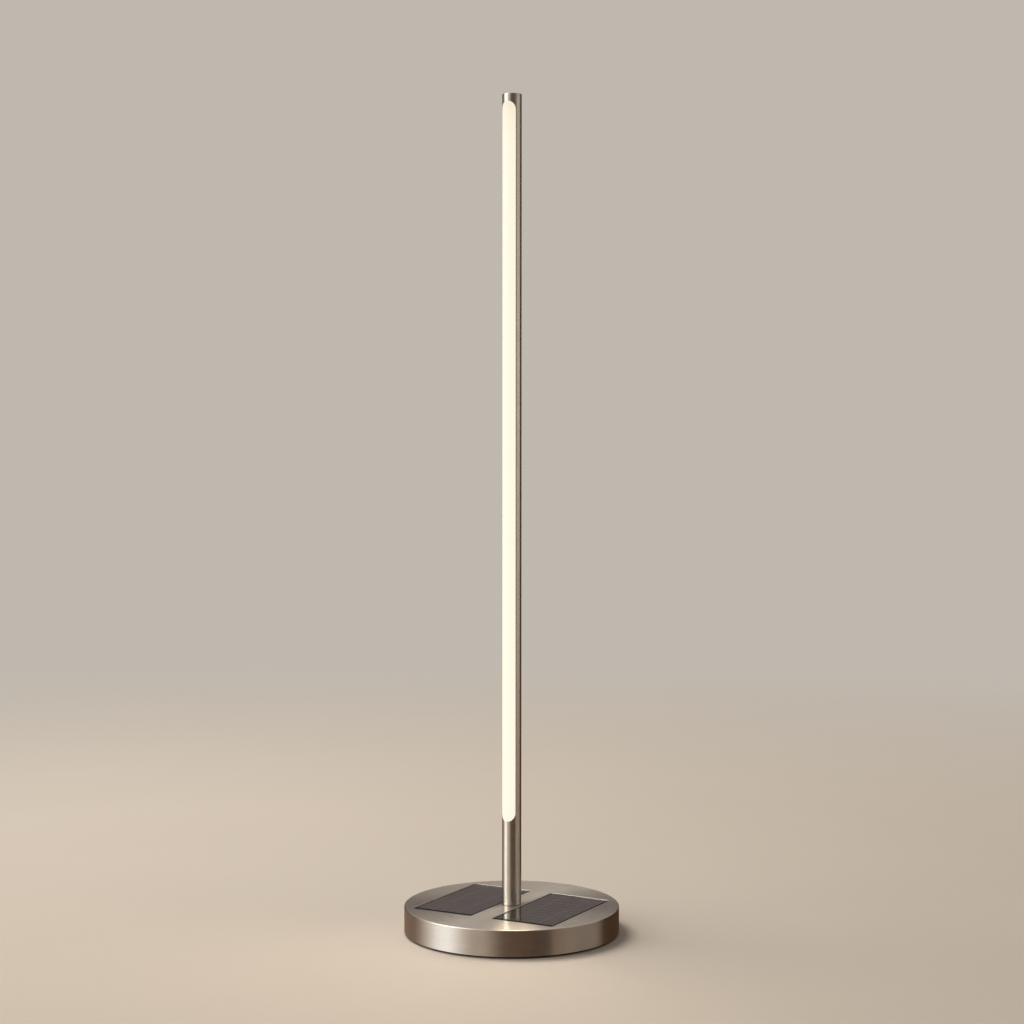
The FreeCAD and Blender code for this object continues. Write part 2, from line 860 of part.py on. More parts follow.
def make_battery_door():
    width = 2 * holder_half_span + door_overlap
    depth = holder_width + 2 * door_overlap
    door = rounded_block(width, depth, door_corner_radius, foot_height - door_thickness, foot_height,
                         0, holder_centre_y)
    screw_hole = (door_screw_diameter + screw_clearance) / 2
    holes = [disc(screw_hole, foot_height - door_thickness, foot_height, x, y)
             for x, y in door_screw_places()]
    return cut_all(door, holes)


def make_door_screws():
    seat = foot_height - door_thickness
    reach = door_thickness + floor_thickness + holder_ear_height
    return [
        socketed(screw_from_below(door_screw_diameter, door_screw_head_diameter,
                                  door_screw_head_height, seat, reach, x, y),
                 seat - door_screw_head_height, x, y)
        for x, y in door_screw_places()
    ]


# Switch

def make_switch_body():
    """A round housing with a threaded bushing below it and a stepped bore for the button."""
    bore = button_diameter / 2 + button_clearance
    collar_bore = button_collar_diameter / 2 + button_clearance
    body = turned([
        (bore, bushing_end_height),
        (bushing_diameter / 2, bushing_end_height),
        (bushing_diameter / 2, switch_shoulder),
        (switch_body_diameter / 2, switch_shoulder),
        (switch_body_diameter / 2, switch_body_top),
        (collar_bore, switch_body_top),
        (collar_bore, switch_ledge),
        (bore, switch_ledge),
    ])
    return at_switch(body)


def at_switch(shape):
    moved = shape.copy()
    moved.translate(Vector(0, switch_centre_y, 0))
    return moved


def make_switch_terminals():
    """The block that closes the housing from above, with two soldering tags."""
    collar_bore = button_collar_diameter / 2 + button_clearance
    plug = disc(collar_bore, switch_cavity_top, switch_body_top)
    tags = [
        block(terminal_width, terminal_thickness, switch_body_top, switch_body_top + terminal_length, x)
        for x in (-terminal_spacing / 2, terminal_spacing / 2)
    ]
    lid = disc(switch_body_diameter / 2 - terminal_thickness, switch_body_top,
               switch_body_top + terminal_thickness)
    return at_switch(one_solid(plug, [lid] + tags))


def make_switch_seal():
    return at_switch(ring(switch_seal_diameter / 2, bushing_diameter / 2 + bushing_hole_clearance,
                          floor_top, switch_shoulder))


def make_switch_nut():
    nut = hexagon(switch_nut_width, foot_height - switch_nut_height, foot_height)
    return at_switch(nut.cut(disc(bushing_diameter / 2, foot_height - switch_nut_height, foot_height)))


def make_power_button():
    """A domed button whose collar rests on a ledge in the housing, with a pin for the spring."""
    shaft = disc(button_diameter / 2, button_rest_height, switch_ledge)
    lower_rim = [edge for edge in shaft.Edges if edge.BoundBox.ZMax < switch_ledge]
    shaft = shaft.makeFillet(button_dome, lower_rim)
    collar = disc(button_collar_diameter / 2, switch_ledge, button_collar_top)
    pin = disc(button_pin_diameter / 2, button_collar_top, button_pin_top)
    return at_switch(one_solid(shaft, [collar, pin]))


def make_return_spring():
    """A coil from the button's collar up to the terminal block, in half turns."""
    mean_radius = (return_spring_diameter - return_spring_wire) / 2
    start = button_collar_top + return_spring_wire / 2
    end = switch_cavity_top - return_spring_wire / 2
    pitch = (end - start) / return_spring_turns
    coil = Part.makeHelix(pitch, end - start, mean_radius)
    section = Part.Wire(Part.makeCircle(return_spring_wire / 2, Vector(mean_radius, 0, 0), Vector(0, 1, 0)))
    spring = Part.Wire(coil).makePipeShell([section], True, True)
    spring.translate(Vector(0, switch_centre_y, start))
    return spring


# Leads that the lamp holds all the way

def panel_lead_place(side):
    return side * panel_offset, board_centre_y


def make_light_lead():
    """From the light strip's lower end down the stem, out beside the bridge and on to the board."""
    strip_y = -carrier_face_offset - lead_diameter / 2 - lead_clearance
    x, y = connector_places()["light"]
    beside_bridge = bridge_width / 2 + lead_distance_from_bridge
    return lead([
        Vector(0, strip_y, strip_bottom),
        Vector(0, strip_y, plug_top),
        Vector(0, 0, stem_top),
        Vector(0, 0, lead_level),
        Vector(beside_bridge, -bridge_span / 6, lead_level),
        Vector(beside_bridge, -bridge_span / 2, lead_level),
        Vector(x, y, lead_level + lead_bend_radius),
        Vector(x, y, connector_top),
    ])


def make_battery_lead():
    """From the battery box past the bridge to the board, just above the ballast."""
    x, y = connector_places()["battery"]
    start_y = holder_centre_y - holder_width / 2
    return lead([
        Vector(x, start_y, lead_level),
        Vector(x, start_y / 2, lead_level),
        Vector(x - lead_diameter, -start_y / 2, lead_level),
        Vector(x, y, lead_level + lead_bend_radius),
        Vector(x, y, connector_top),
    ])


def make_panel_lead(side):
    x, y = panel_lead_place(side)
    connector_x, connector_y = connector_places()["left_panel" if side < 0 else "right_panel"]
    level = (cell_board_underside + connector_top) / 2
    return lead([
        Vector(x, y, cell_board_underside),
        Vector(x, y, level),
        Vector(connector_x, connector_y, level),
        Vector(connector_x, connector_y, connector_top),
    ])


def make_switch_lead():
    x, y = connector_places()["switch"]
    tag_top = switch_body_top + terminal_length
    level = tag_top + 2 * lead_diameter
    tag_x = terminal_spacing / 2
    return lead([
        Vector(tag_x, switch_centre_y, tag_top),
        Vector(tag_x, switch_centre_y, level),
        Vector(x, y, level),
        Vector(x, y, connector_top),
    ])


nodes = {
    "base_cover": make_base_cover(),
    "cover_posts": make_cover_posts(),
    "floor_plate": make_floor_plate(),
    "floor_screws": make_floor_screws(),
    "foot_ring": make_foot_ring(),
    "ballast_plate": make_ballast(),
    "ballast_screws": make_ballast_screws(),
    "stem_bridge": make_stem_bridge(),
    "bridge_screws": make_bridge_screws(),
    "stem": make_stem(),
    "stem_washer": make_stem_washer(),
    "stem_nut": make_stem_nut(),
    "pole_plug": make_pole_plug(),
    "pole_seal": make_pole_seal(),
    "pole_tube": make_pole_tube(),
    "top_cap": make_top_cap(),
    "cap_seal": make_cap_seal(),
    "light_tube": make_light_tube(),
    "slot_lens": make_slot_lens(),
    "led_carrier": make_led_carrier(),
    "led_strip": make_led_strip(),
    "led_chips": make_led_chips(),
    "panel_glass_left": make_panel_glass(-1),
    "panel_glass_right": make_panel_glass(1),
    "solar_cells_left": make_solar_cells(-1),
    "solar_cells_right": make_solar_cells(1),
    "cell_board_left": make_cell_board(-1),
    "cell_board_right": make_cell_board(1),
    "panel_tray_left": make_panel_tray(-1),
    "panel_tray_right": make_panel_tray(1),
    "panel_nuts": make_panel_nuts(),
    "board_posts": make_board_posts(),
    "controller_board": make_controller_board(),
    "board_screws": make_board_screws(),
    "board_connectors": make_board_connectors(),
    "board_parts": make_board_parts(),
    "battery_holder": make_battery_holder(),
    "battery_cells": make_battery_cells(),
    "battery_contacts": make_battery_contacts(),
    "battery_door": make_battery_door(),
    "door_screws": make_door_screws(),
    "switch_body": make_switch_body(),
    "switch_terminals": make_switch_terminals(),
    "switch_seal": make_switch_seal(),
    "switch_nut": make_switch_nut(),
    "power_button": make_power_button(),
    "return_spring": make_return_spring(),
    "light_lead": make_light_lead(),
    "battery_lead": make_battery_lead(),
    "panel_lead_left": make_panel_lead(-1),
    "panel_lead_right": make_panel_lead(1),
    "switch_lead": make_switch_lead(),
}

os.makedirs("parts", exist_ok=True)
for node, shape in nodes.items():
    if isinstance(shape, list):
        shape = Part.makeCompound(shape)
    shape.exportStep("parts/" + node + ".step")
    print(node, "solids", len(shape.Solids), "volume", round(shape.Volume))
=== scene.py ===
# %% [markdown]
# # A solar floor lamp for outdoors
# A steel tube stands on a heavy round base. A long slot is cut through the tube's front, and an
# opal light tube shines through it. Two solar panels lie flush in the top of the base.
# The shapes come from the construction model, which is loaded here as a fixed frame in metres.
# Blender adds the finishes, the small pieces that a maker would add last, the light and the camera.

# %% Load the frame
import json
import math
import bpy
from mathutils import Euler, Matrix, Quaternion, Vector


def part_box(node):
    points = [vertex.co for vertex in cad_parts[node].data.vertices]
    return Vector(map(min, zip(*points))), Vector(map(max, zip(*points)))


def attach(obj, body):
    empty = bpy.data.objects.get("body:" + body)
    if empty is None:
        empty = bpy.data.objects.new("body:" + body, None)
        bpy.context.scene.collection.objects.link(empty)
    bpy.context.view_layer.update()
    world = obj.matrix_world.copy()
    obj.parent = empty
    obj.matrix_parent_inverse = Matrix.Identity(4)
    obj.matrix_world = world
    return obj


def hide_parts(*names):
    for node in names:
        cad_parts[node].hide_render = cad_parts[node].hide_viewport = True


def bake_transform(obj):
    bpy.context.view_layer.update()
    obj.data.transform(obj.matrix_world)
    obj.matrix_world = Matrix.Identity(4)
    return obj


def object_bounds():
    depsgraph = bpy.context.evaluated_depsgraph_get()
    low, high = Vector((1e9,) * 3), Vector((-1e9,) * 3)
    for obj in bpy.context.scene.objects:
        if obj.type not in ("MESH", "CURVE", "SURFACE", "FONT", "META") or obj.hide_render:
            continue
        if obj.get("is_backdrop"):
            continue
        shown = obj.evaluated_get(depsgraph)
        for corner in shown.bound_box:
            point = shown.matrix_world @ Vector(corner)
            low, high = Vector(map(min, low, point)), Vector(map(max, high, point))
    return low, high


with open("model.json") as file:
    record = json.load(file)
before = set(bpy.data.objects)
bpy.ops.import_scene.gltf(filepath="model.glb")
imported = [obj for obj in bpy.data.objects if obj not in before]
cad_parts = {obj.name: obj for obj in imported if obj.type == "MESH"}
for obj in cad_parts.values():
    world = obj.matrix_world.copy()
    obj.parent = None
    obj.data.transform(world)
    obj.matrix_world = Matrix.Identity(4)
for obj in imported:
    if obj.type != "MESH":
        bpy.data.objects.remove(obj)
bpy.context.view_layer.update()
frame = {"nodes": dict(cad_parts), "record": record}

nodes = frame["nodes"]
scene = bpy.context.scene

# %% [markdown]
# ## Camera
# The photograph looks at the lamp a little from the right of its slot and from about the height
# of its middle, with a long lens, so the pole's sides stay nearly parallel. A camera could be set
# by eye. This one was fitted to the width of the base, the height of the pole and the corners of
# the two panels, so that the lamp's outline can be compared with the photograph.

# %% Place the camera
CAMERA_PLACE = (1.3346, -2.4176, 0.6886)
CAMERA_LENS = 69.96
CAMERA_SENSOR = 36.0
NEAREST = 0.05
# Degrees: how far the camera looks down, how far it is turned to the left, and how it is tilted.
CAMERA_DIP = 2.1
CAMERA_TURN = 28.8957
CAMERA_ROLL = 0.027

camera_data = bpy.data.cameras.new("camera")
camera_data.lens = CAMERA_LENS
camera_data.sensor_width = CAMERA_SENSOR
camera_data.clip_start = NEAREST
camera = bpy.data.objects.new("camera", camera_data)
camera.location = CAMERA_PLACE
looking = Euler((math.radians(90 - CAMERA_DIP), 0, math.radians(CAMERA_TURN))).to_quaternion()
roll = Quaternion((0, 0, 1), math.radians(CAMERA_ROLL))
camera.rotation_euler = (looking @ roll).to_euler()
scene.collection.objects.link(camera)
scene.camera = camera
print("camera", [round(value, 3) for value in camera.location])

# %% [markdown]
# ## Helpers for node trees
# Every finish is a small tree of shader nodes, and so is the room. Such trees can be drawn by hand
# in the editor. Here small helpers build them: each adds one kind of node, takes plain values or
# the outputs of other nodes, and gives its own output back, so a tree reads like a sum.

# %% Define the helpers for node trees
def join(tree, source, target):
    tree.links.new(source, target)


def feed(tree, node, values):
    """Each input named or numbered gets a plain value, or is joined to an output."""
    for place, value in dict(values).items():
        if isinstance(value, bpy.types.NodeSocket):
            join(tree, value, node.inputs[place])
        else:
            node.inputs[place].default_value = value


def add_node(tree, kind, values=(), **settings):
    node = tree.nodes.new(kind)
    for name, value in settings.items():
        setattr(node, name, value)
    feed(tree, node, values)
    return node


def maths(tree, operation, *values):
    return add_node(tree, "ShaderNodeMath", enumerate(values), operation=operation).outputs[0]


def times(tree, first, second):
    return maths(tree, "MULTIPLY", first, second)


def plus(tree, first, second):
    return maths(tree, "ADD", first, second)


def spread(tree, value, low, high, to_low=0.0, to_high=1.0):
    """A value moved from one range to another and held inside it."""
    return add_node(tree, "ShaderNodeMapRange", {
        "Value": value, "From Min": low, "From Max": high, "To Min": to_low, "To Max": to_high,
    }).outputs["Result"]


def blend_colours(tree, share, first, second, how="MIX"):
    """Two colours mixed by a share, where each is three numbers or an output."""
    first, second = ((*colour, 1.0) if isinstance(colour, tuple) else colour
                     for colour in (first, second))
    return add_node(tree, "ShaderNodeMix", {0: share, 6: first, 7: second},
                    data_type="RGBA", blend_type=how).outputs[2]


print("helpers for node trees are ready")

# %% [markdown]
# ## Studio
# Brushed steel has no colour of its own to speak of: it shows the room. A picture of a room could
# light it, but would tie the lamp to one place. So the room is painted by direction, as three rings
# of soft wall with bright and dark parts: bright at the viewer's left, dark behind the camera.
# Those give the pole its bright streak at the left and its dark band in the middle.

# %% Set the walls' levels
# Angles are in degrees round the lamp, 0 towards the camera and positive to the viewer's right.
# The first list holds below the horizon, the second one near it and the third one high up.
LOW_WALLS = (
    (-180, 0.19), (-170, 0.22), (-128, 0.22), (-118, 0.30), (-108, 0.46), (-98, 0.74),
    (-84, 1.34), (-72, 1.36), (-60, 0.81), (-48, 0.42), (-40, 0.36), (-30, 0.47), (-20, 0.29),
    (-11, 0.125), (20, 0.10), (42.5, 0.03), (45.5, 0.27), (56, 0.25), (66, 0.09), (80, 0.02),
    (90, 0.02), (98, 0.08), (112, 0.05), (170, 0.035), (180, 0.035),
)
LEVEL_WALLS = (
    (-180, 0.13), (-140, 0.08), (-122, 0.09), (-112, 0.36), (-100, 1.05), (-86, 1.28),
    (-70, 1.30), (-57, 0.90), (-44, 0.70), (-32, 0.55), (-20, 0.20), (-9, 0.015), (24, 0.01),
    (35, 0.09), (52, 0.18), (60, 0.22), (70, 0.26), (86, 0.28), (100, 0.22), (106, 0.06),
    (112, 0.02), (140, 0.04), (158, 0.11), (180, 0.13),
)
HIGH_WALLS = (
    (-180, 0.73), (-150, 0.58), (-126, 0.44), (-116, 1.20), (-106, 1.70), (-84, 1.90),
    (-66, 1.80), (-45, 1.06), (-20, 0.68), (0, 0.36), (40, 0.32), (70, 0.44), (100, 0.42),
    (130, 0.40), (155, 0.53), (180, 0.73),
)
OVERHEAD = 0.765
LOW_TINT = (0.935, 0.935, 0.935)
LEVEL_TINT = (0.96, 0.94, 0.86)
HIGH_TINT = (1.0, 0.90, 0.79)
# The height of a direction, from -1 to 1, over which one ring passes into the next.
LOW_TO_LEVEL = (-0.16, -0.08)
LEVEL_TO_HIGH = (0.26, 0.42)
HIGH_TO_OVERHEAD = (0.60, 0.95)
# A dim wall is warmer than a bright one: its red, green and blue also follow these powers of its
# level, by a share that each ring has. A wall at FULL_LEVEL keeps its tint.
WARMING = (-0.15, 0.035, 0.21)
FULL_LEVEL = 1.4
LOW_WARMING = 1.15
LEVEL_WARMING = 0.5
# A ramp holds colours up to 1, so the levels are stored smaller and the light is made stronger.
WALL_SCALE = 2.0
print("wall stops", len(LOW_WALLS), len(LEVEL_WALLS), len(HIGH_WALLS))

# %% [markdown]
# ## Room
# The rings are read by the direction in which a ray leaves. Its angle round the lamp picks a
# colour from each ring, and its height picks between the rings. The angles are counted from the
# camera's side, so that a wall stays where the photograph's metal shows it.

# %% Paint the room by direction
VIEW_AZIMUTH = math.radians(28.9)


def vectors(tree, operation, first, second=None):
    """A Vector Math node, whose second value may be left out."""
    values = {0: first}
    if second is not None:
        values["Scale" if operation == "SCALE" else 1] = second
    node = add_node(tree, "ShaderNodeVectorMath", values, operation=operation)
    return node.outputs["Value" if operation in ("LENGTH", "DOT_PRODUCT") else "Vector"]


def split(tree, vector):
    return add_node(tree, "ShaderNodeSeparateXYZ", {"Vector": vector}).outputs


def colour_ramp(tree, value, stops):
    """Colours read off by a value, from stops that each have a place and a colour."""
    ramp = add_node(tree, "ShaderNodeValToRGB", {"Fac": value})
    elements = ramp.color_ramp.elements
    while len(elements) < len(stops):
        elements.new(0.5)
    for element, (place, colour) in zip(elements, stops):
        element.position = place
        element.color = (*colour, 1)
    return ramp.outputs["Color"]


def scaled(colour, share, most=math.inf):
    return tuple(min(most, share * value) for value in colour)


world = bpy.data.worlds.new("studio")
scene.world = world
world.use_nodes = True
tree = world.node_tree
direction = add_node(tree, "ShaderNodeTexCoord").outputs["Generated"]
across = vectors(tree, "DOT_PRODUCT", direction,
                 (math.cos(VIEW_AZIMUTH), math.sin(VIEW_AZIMUTH), 0))
towards = vectors(tree, "DOT_PRODUCT", direction,
                  (math.sin(VIEW_AZIMUTH), -math.cos(VIEW_AZIMUTH), 0))
angle = maths(tree, "ARCTAN2", across, towards)
turn = spread(tree, angle, -math.pi, math.pi)
rise = split(tree, direction)["Z"]


def wall_ramp(levels, tint, warming=0.0):
    return colour_ramp(tree, turn, [(
        (degrees + 180) / 360,
        tuple(level / WALL_SCALE * share * (level / FULL_LEVEL) ** (power * warming)
              for share, power in zip(tint, WARMING)),
    ) for degrees, level in levels])


lower = blend_colours(tree, spread(tree, rise, *LOW_TO_LEVEL),
                      wall_ramp(LOW_WALLS, LOW_TINT, LOW_WARMING),
                      wall_ramp(LEVEL_WALLS, LEVEL_TINT, LEVEL_WARMING))
walls = blend_colours(tree, spread(tree, rise, *LEVEL_TO_HIGH), lower,
                      wall_ramp(HIGH_WALLS, HIGH_TINT))
room = blend_colours(tree, spread(tree, rise, *HIGH_TO_OVERHEAD), walls,
                     scaled(HIGH_TINT, OVERHEAD / WALL_SCALE))
print("nodes in the room", len(tree.nodes))

# %% [markdown]
# ## Cards
# A photographer holds up cards where metal or glass needs a streak of light. They could be meshes
# that glow, but those would throw shadows of their own. Here each is a patch with soft edges that
# is added to the painted room: one for the pole's streak, one for the strip at the right of the
# slot, one for the rim of the base, and a faint cool one behind the lamp for the panes. That one
# crosses the half turn, so it's put up in two halves.

# %% Add the five cards
CARD_TINT = (1.0, 0.935, 0.86)
WARM_TINT = (1.13, 0.99, 0.81)
COOL_TINT = (0.80, 0.72, 1.0)
SOFT_SIDE = 8
SOFT_BELOW = 0.05
SOFT_ABOVE = 0.10
# Each card: left and right in degrees, low and high as heights of direction, level and tint.
CARDS = (
    (-90, -64, 0.17, 0.52, 2.5, CARD_TINT),
    (62, 104, -0.09, 0.05, 0.95, WARM_TINT),
    (-108, -58, 0.45, 0.85, 1.3, CARD_TINT),
    (168, 190, 0.15, 0.28, 0.075, COOL_TINT),
    (-190, -168, 0.15, 0.28, 0.075, COOL_TINT),
)

for left, right, low, high, level, tint in CARDS:
    sideways = times(
        tree, spread(tree, angle, math.radians(left - SOFT_SIDE), math.radians(left)),
        spread(tree, angle, math.radians(right + SOFT_SIDE), math.radians(right)))
    upwards = times(tree, spread(tree, rise, low, low + SOFT_BELOW),
                    spread(tree, rise, high + SOFT_ABOVE, high))
    room = blend_colours(tree, times(tree, sideways, upwards), room,
                         scaled(tint, level / WALL_SCALE), "ADD")
print("cards", len(CARDS))

# %% [markdown]
# ## Background
# Behind the lamp the camera sees one plain warm grey, as a studio's paper would look, while metal
# and glass see the room. The paper could be a curved sheet, but a plain background needs no mesh
# and has no horizon. Matt surfaces get only a share of the room's light, so that the lamps below
# can throw a shadow.

# %% Give the camera a plain background and everything else the room
BACKGROUND = (0.520, 0.480, 0.430)
ROOM_ON_MATT = 0.4

rays = add_node(tree, "ShaderNodeLightPath").outputs
strength = spread(tree, rays["Is Diffuse Ray"], 0, 1, WALL_SCALE, WALL_SCALE * ROOM_ON_MATT)
room_light = add_node(tree, "ShaderNodeBackground", {"Color": room, "Strength": strength})
plain = add_node(tree, "ShaderNodeBackground", {"Color": (*BACKGROUND, 1), "Strength": 1.0})
choice = add_node(tree, "ShaderNodeMixShader", {
    "Fac": rays["Is Camera Ray"], 1: room_light.outputs[0], 2: plain.outputs[0]})
join(tree, choice.outputs["Shader"], tree.nodes["World Output"].inputs["Surface"])
scene.view_settings.view_transform = "Standard"
print("view transform", scene.view_settings.view_transform)

# %% [markdown]
# ## How a finish starts
# Every finish has one main shader with plain values, into which its tree of nodes then feeds. The
# trees read object coordinates, in metres, so a pattern keeps its real size on every piece. Image
# textures would need the meshes unwrapped first.

# %% Define how a finish starts
finishes = {}


def start_material(name, **values):
    """A finish with one Principled shader, whose plain values are set on its own sockets."""
    material = bpy.data.materials.new(name)
    material.use_nodes = True
    finishes[name] = material
    tree = material.node_tree
    shader = tree.nodes["Principled BSDF"]
    feed(tree, shader, {socket.replace("_", " "): value for socket, value in values.items()})
    print("finish", name)
    return tree, shader


def noise(tree, vector, scale, detail=3.0, roughness=0.5):
    return add_node(tree, "ShaderNodeTexNoise", {
        "Vector": vector, "Scale": scale, "Detail": detail, "Roughness": roughness,
    }).outputs["Fac"]


def object_point(tree):
    return add_node(tree, "ShaderNodeTexCoord").outputs["Object"]


print("helpers for finishes are ready")

# %% [markdown]
# ## Floor
# The floor only has to carry the lamp and its shadow. A patterned one would draw the eye, so it's
# a plain pale disc with a barely cloudy tone. It fades out far from the lamp, so no edge shows,
# and it stays out of reflections, since the painted room already has a lower wall.

# %% Lay the floor
FLOOR_COLOUR = (0.52, 0.475, 0.425)
FLOOR_CLOUD = 0.985
FLOOR_RADIUS = 4.0
FLOOR_SIDES = 96
FLOOR_FADE = (1.0, 3.6)

bpy.ops.mesh.primitive_circle_add(vertices=FLOOR_SIDES, radius=FLOOR_RADIUS,
                                  fill_type="NGON", location=(0, 0, 0))
floor = bpy.context.object
floor.name = "floor"
floor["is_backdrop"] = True
floor.visible_glossy = False
tree, shader = start_material("pale_floor", Roughness=0.9)
point = object_point(tree)
cloud = spread(tree, noise(tree, point, 3.0, 4.0), 0.35, 0.65)
feed(tree, shader, {
    "Base Color": blend_colours(tree, cloud, scaled(FLOOR_COLOUR, FLOOR_CLOUD), FLOOR_COLOUR)})
fade = add_node(tree, "ShaderNodeMixShader", {
    "Fac": spread(tree, vectors(tree, "LENGTH", point), *FLOOR_FADE),
    1: shader.outputs["BSDF"],
    2: add_node(tree, "ShaderNodeBsdfTransparent").outputs["BSDF"]})
join(tree, fade.outputs["Shader"], tree.nodes["Material Output"].inputs["Surface"])
floor.data.materials.append(finishes["pale_floor"])
print("floor radius", FLOOR_RADIUS)

# %% [markdown]
# ## Lamps
# A large soft lamp above and to the left throws the lamp's soft shadow to the right, and a weak
# one at the right keeps that shadow open. A small lamp or a sun would draw a hard edge. The steel
# already mirrors the painted room, so neither is seen in it.

# %% Hang the soft lamps
LAMP_COLOUR = (1.0, 0.94, 0.86)


def area_light(name, place, turn, size, power, colour):
    """A flat lamp that the camera doesn't see."""
    data = bpy.data.lights.new(name, "AREA")
    data.shape = "RECTANGLE"
    data.size, data.size_y = size
    data.energy = power
    data.color = colour
    lamp = bpy.data.objects.new(name, data)
    lamp.location = place
    lamp.rotation_euler = turn
    lamp.visible_camera = False
    scene.collection.objects.link(lamp)
    print(name, power, "W")
    return lamp


for name, place, aim, width, power in (
    ("top_light", (-1.5, 0.1, 2.9), (0, 0, 0.1), 1.5, 80),
    ("fill_light", (2.6, -1.8, 1.8), (0, 0, 0.4), 1.6, 5),
):
    turn = (Vector(aim) - Vector(place)).to_track_quat("-Z", "Y").to_euler()
    lamp = area_light(name, place, turn, (width, width), power, LAMP_COLOUR)
    lamp.visible_glossy = False

# %% [markdown]
# ## Grain
# Metal that is brushed while it turns has fine lines round its axis. They could be cut in the
# mesh, but are far too fine. So a noise is stretched: it changes quickly along the axis and from
# the middle outwards, and slowly round the axis. Several finishes use it, so it's a node group,
# which gives out masks and a height, and each finish mixes them in at its own strength.

# %% Make the group for turned and brushed grain
def start_group(name, inputs, outputs):
    """A node group with float inputs and outputs, except those whose name says Normal."""
    tree = bpy.data.node_groups.new(name, "ShaderNodeTree")
    for socket, value in inputs.items():
        made = tree.interface.new_socket(socket, in_out="INPUT", socket_type="NodeSocketFloat")
        made.default_value = value
    for socket in outputs:
        kind = "NodeSocketVector" if "Normal" in socket else "NodeSocketFloat"
        tree.interface.new_socket(socket, in_out="OUTPUT", socket_type=kind)
    print("group", name)
    return tree, tree.nodes.new("NodeGroupInput").outputs, tree.nodes.new("NodeGroupOutput")


def use_group(tree, group, **values):
    return add_node(tree, "ShaderNodeGroup", values, node_tree=group).outputs


def turned_grain():
    tree, given, result = start_group(
        "turned_grain", {"Lines": 2400.0, "Breaks": 9.0}, ("Grain", "Band", "Height"))
    point = object_point(tree)
    flat = vectors(tree, "MULTIPLY", point, (1, 1, 0))
    around = vectors(tree, "NORMALIZE", flat)
    swung = split(tree, vectors(tree, "SCALE", around, given["Breaks"]))
    along = plus(tree, split(tree, point)["Z"], vectors(tree, "LENGTH", flat))
    place = add_node(tree, "ShaderNodeCombineXYZ", {
        "X": swung["X"], "Y": swung["Y"], "Z": times(tree, along, given["Lines"]),
    }).outputs["Vector"]
    fine = noise(tree, place, 1.0, 2.0, 0.6)
    band = noise(tree, vectors(tree, "MULTIPLY", place, (0.6, 0.6, 0.06)), 1.0, 2.0, 0.5)
    feed(tree, result, {"Grain": spread(tree, fine, 0.3, 0.7),
                        "Band": spread(tree, band, 0.3, 0.7), "Height": fine})
    return tree


GRAIN = turned_grain()

# %% [markdown]
# ## Rounded, rubbed and highlighted edges
# No real edge is perfectly sharp, and handling rubs it brighter. Bevels on every piece would make
# the meshes heavy. A bevel in the shader rounds the light on an edge instead, and where it turns
# the normal away from the plain one, a patchy mask marks the edge. The finishes paint it lighter,
# partly as rubbed wear and partly as a painted highlight along the edge.

# %% Make the group for rounded, rubbed and highlighted edges
def rubbed_and_highlit_edge():
    tree, given, result = start_group(
        # The mask this gives is painted lighter by the finishes, as wear and as a painted
        # highlight.
        "rubbed_and_highlit_edge", {"Radius": 0.0004}, ("Edge", "Rounded Normal"))
    rounded = add_node(
        tree, "ShaderNodeBevel", {"Radius": given["Radius"]}, samples=6).outputs["Normal"]
    plain = add_node(tree, "ShaderNodeNewGeometry").outputs["Normal"]
    turned = maths(tree, "SUBTRACT", 1.0, vectors(tree, "DOT_PRODUCT", rounded, plain))
    patchy = spread(tree, noise(tree, object_point(tree), 180.0), 0.3, 0.7, 0.4, 1.0)
    feed(tree, result, {"Edge": times(tree, spread(tree, turned, 0.01, 0.22), patchy),
                        "Rounded Normal": rounded})
    return tree


EDGE = rubbed_and_highlit_edge()

# %% [markdown]
# ## Marks of handling
# A lamp that stands outdoors has soft smears, small spots and fine dust. They could be painted on
# each piece. Three noises at different sizes do it for all pieces at once and never repeat.

# %% Make the group for marks of handling
def cells(tree, vector, scale, randomness=1.0, **settings):
    return add_node(tree, "ShaderNodeTexVoronoi", {
        "Vector": vector, "Scale": scale, "Randomness": randomness}, **settings).outputs


def handling_marks():
    tree, given, result = start_group(
        "handling_marks", {"Size": 1.0}, ("Smear", "Spots", "Dust"))
    sized = vectors(tree, "SCALE", object_point(tree), given["Size"])
    smear = noise(tree, sized, 18.0, 2.0, 0.45)
    spots = cells(tree, sized, 260.0)["Distance"]
    dust = noise(tree, sized, 900.0, 2.0, 0.7)
    feed(tree, result, {"Smear": spread(tree, smear, 0.35, 0.75),
                        "Spots": spread(tree, spots, 0.16, 0.05),
                        "Dust": spread(tree, dust, 0.62, 0.80)})
    return tree


MARKS = handling_marks()

# %% [markdown]
# ## Moulded and coated skins
# Moulded plastic, rubber, powder coating and castings are covered in tiny bumps. Real bumps would
# need millions of faces, so cells and a coarser noise together give a height for the light only.

# %% Make the group for moulded and coated skins
def fine_skin():
    tree, given, result = start_group("fine_skin", {"Grains": 1400.0}, ("Height", "Tone"))
    point = object_point(tree)
    bumps = cells(tree, point, given["Grains"])["Distance"]
    coarse = noise(tree, point, times(tree, given["Grains"], 0.4))
    feed(tree, result, {"Height": plus(tree, bumps, coarse),
                        "Tone": spread(tree, coarse, 0.3, 0.7)})
    return tree


SKIN = fine_skin()

# %% [markdown]
# ## Brushed steel
# The base and the pole are stainless steel, brushed while they turned. The brushing leaves fine
# lines round the axis, and such lines smear a reflection across themselves. So bright walls show as
# upright bands on the pole and on the base's side, and as soft rays on the base's top. Plain
# roughness would smear them every way alike. Anisotropy does it one way, with the tangent running
# round Z and turned by a quarter.

# %% Make the brushed steel finishes
# Painted contact shadow: a thin dark line on the pole, just above its joint with the base.
CONTACT_SHADE = (0.10, 0.09, 0.08)
CONTACT_SHADE_ABOVE_JOINT = (0.0018, 0.0008)


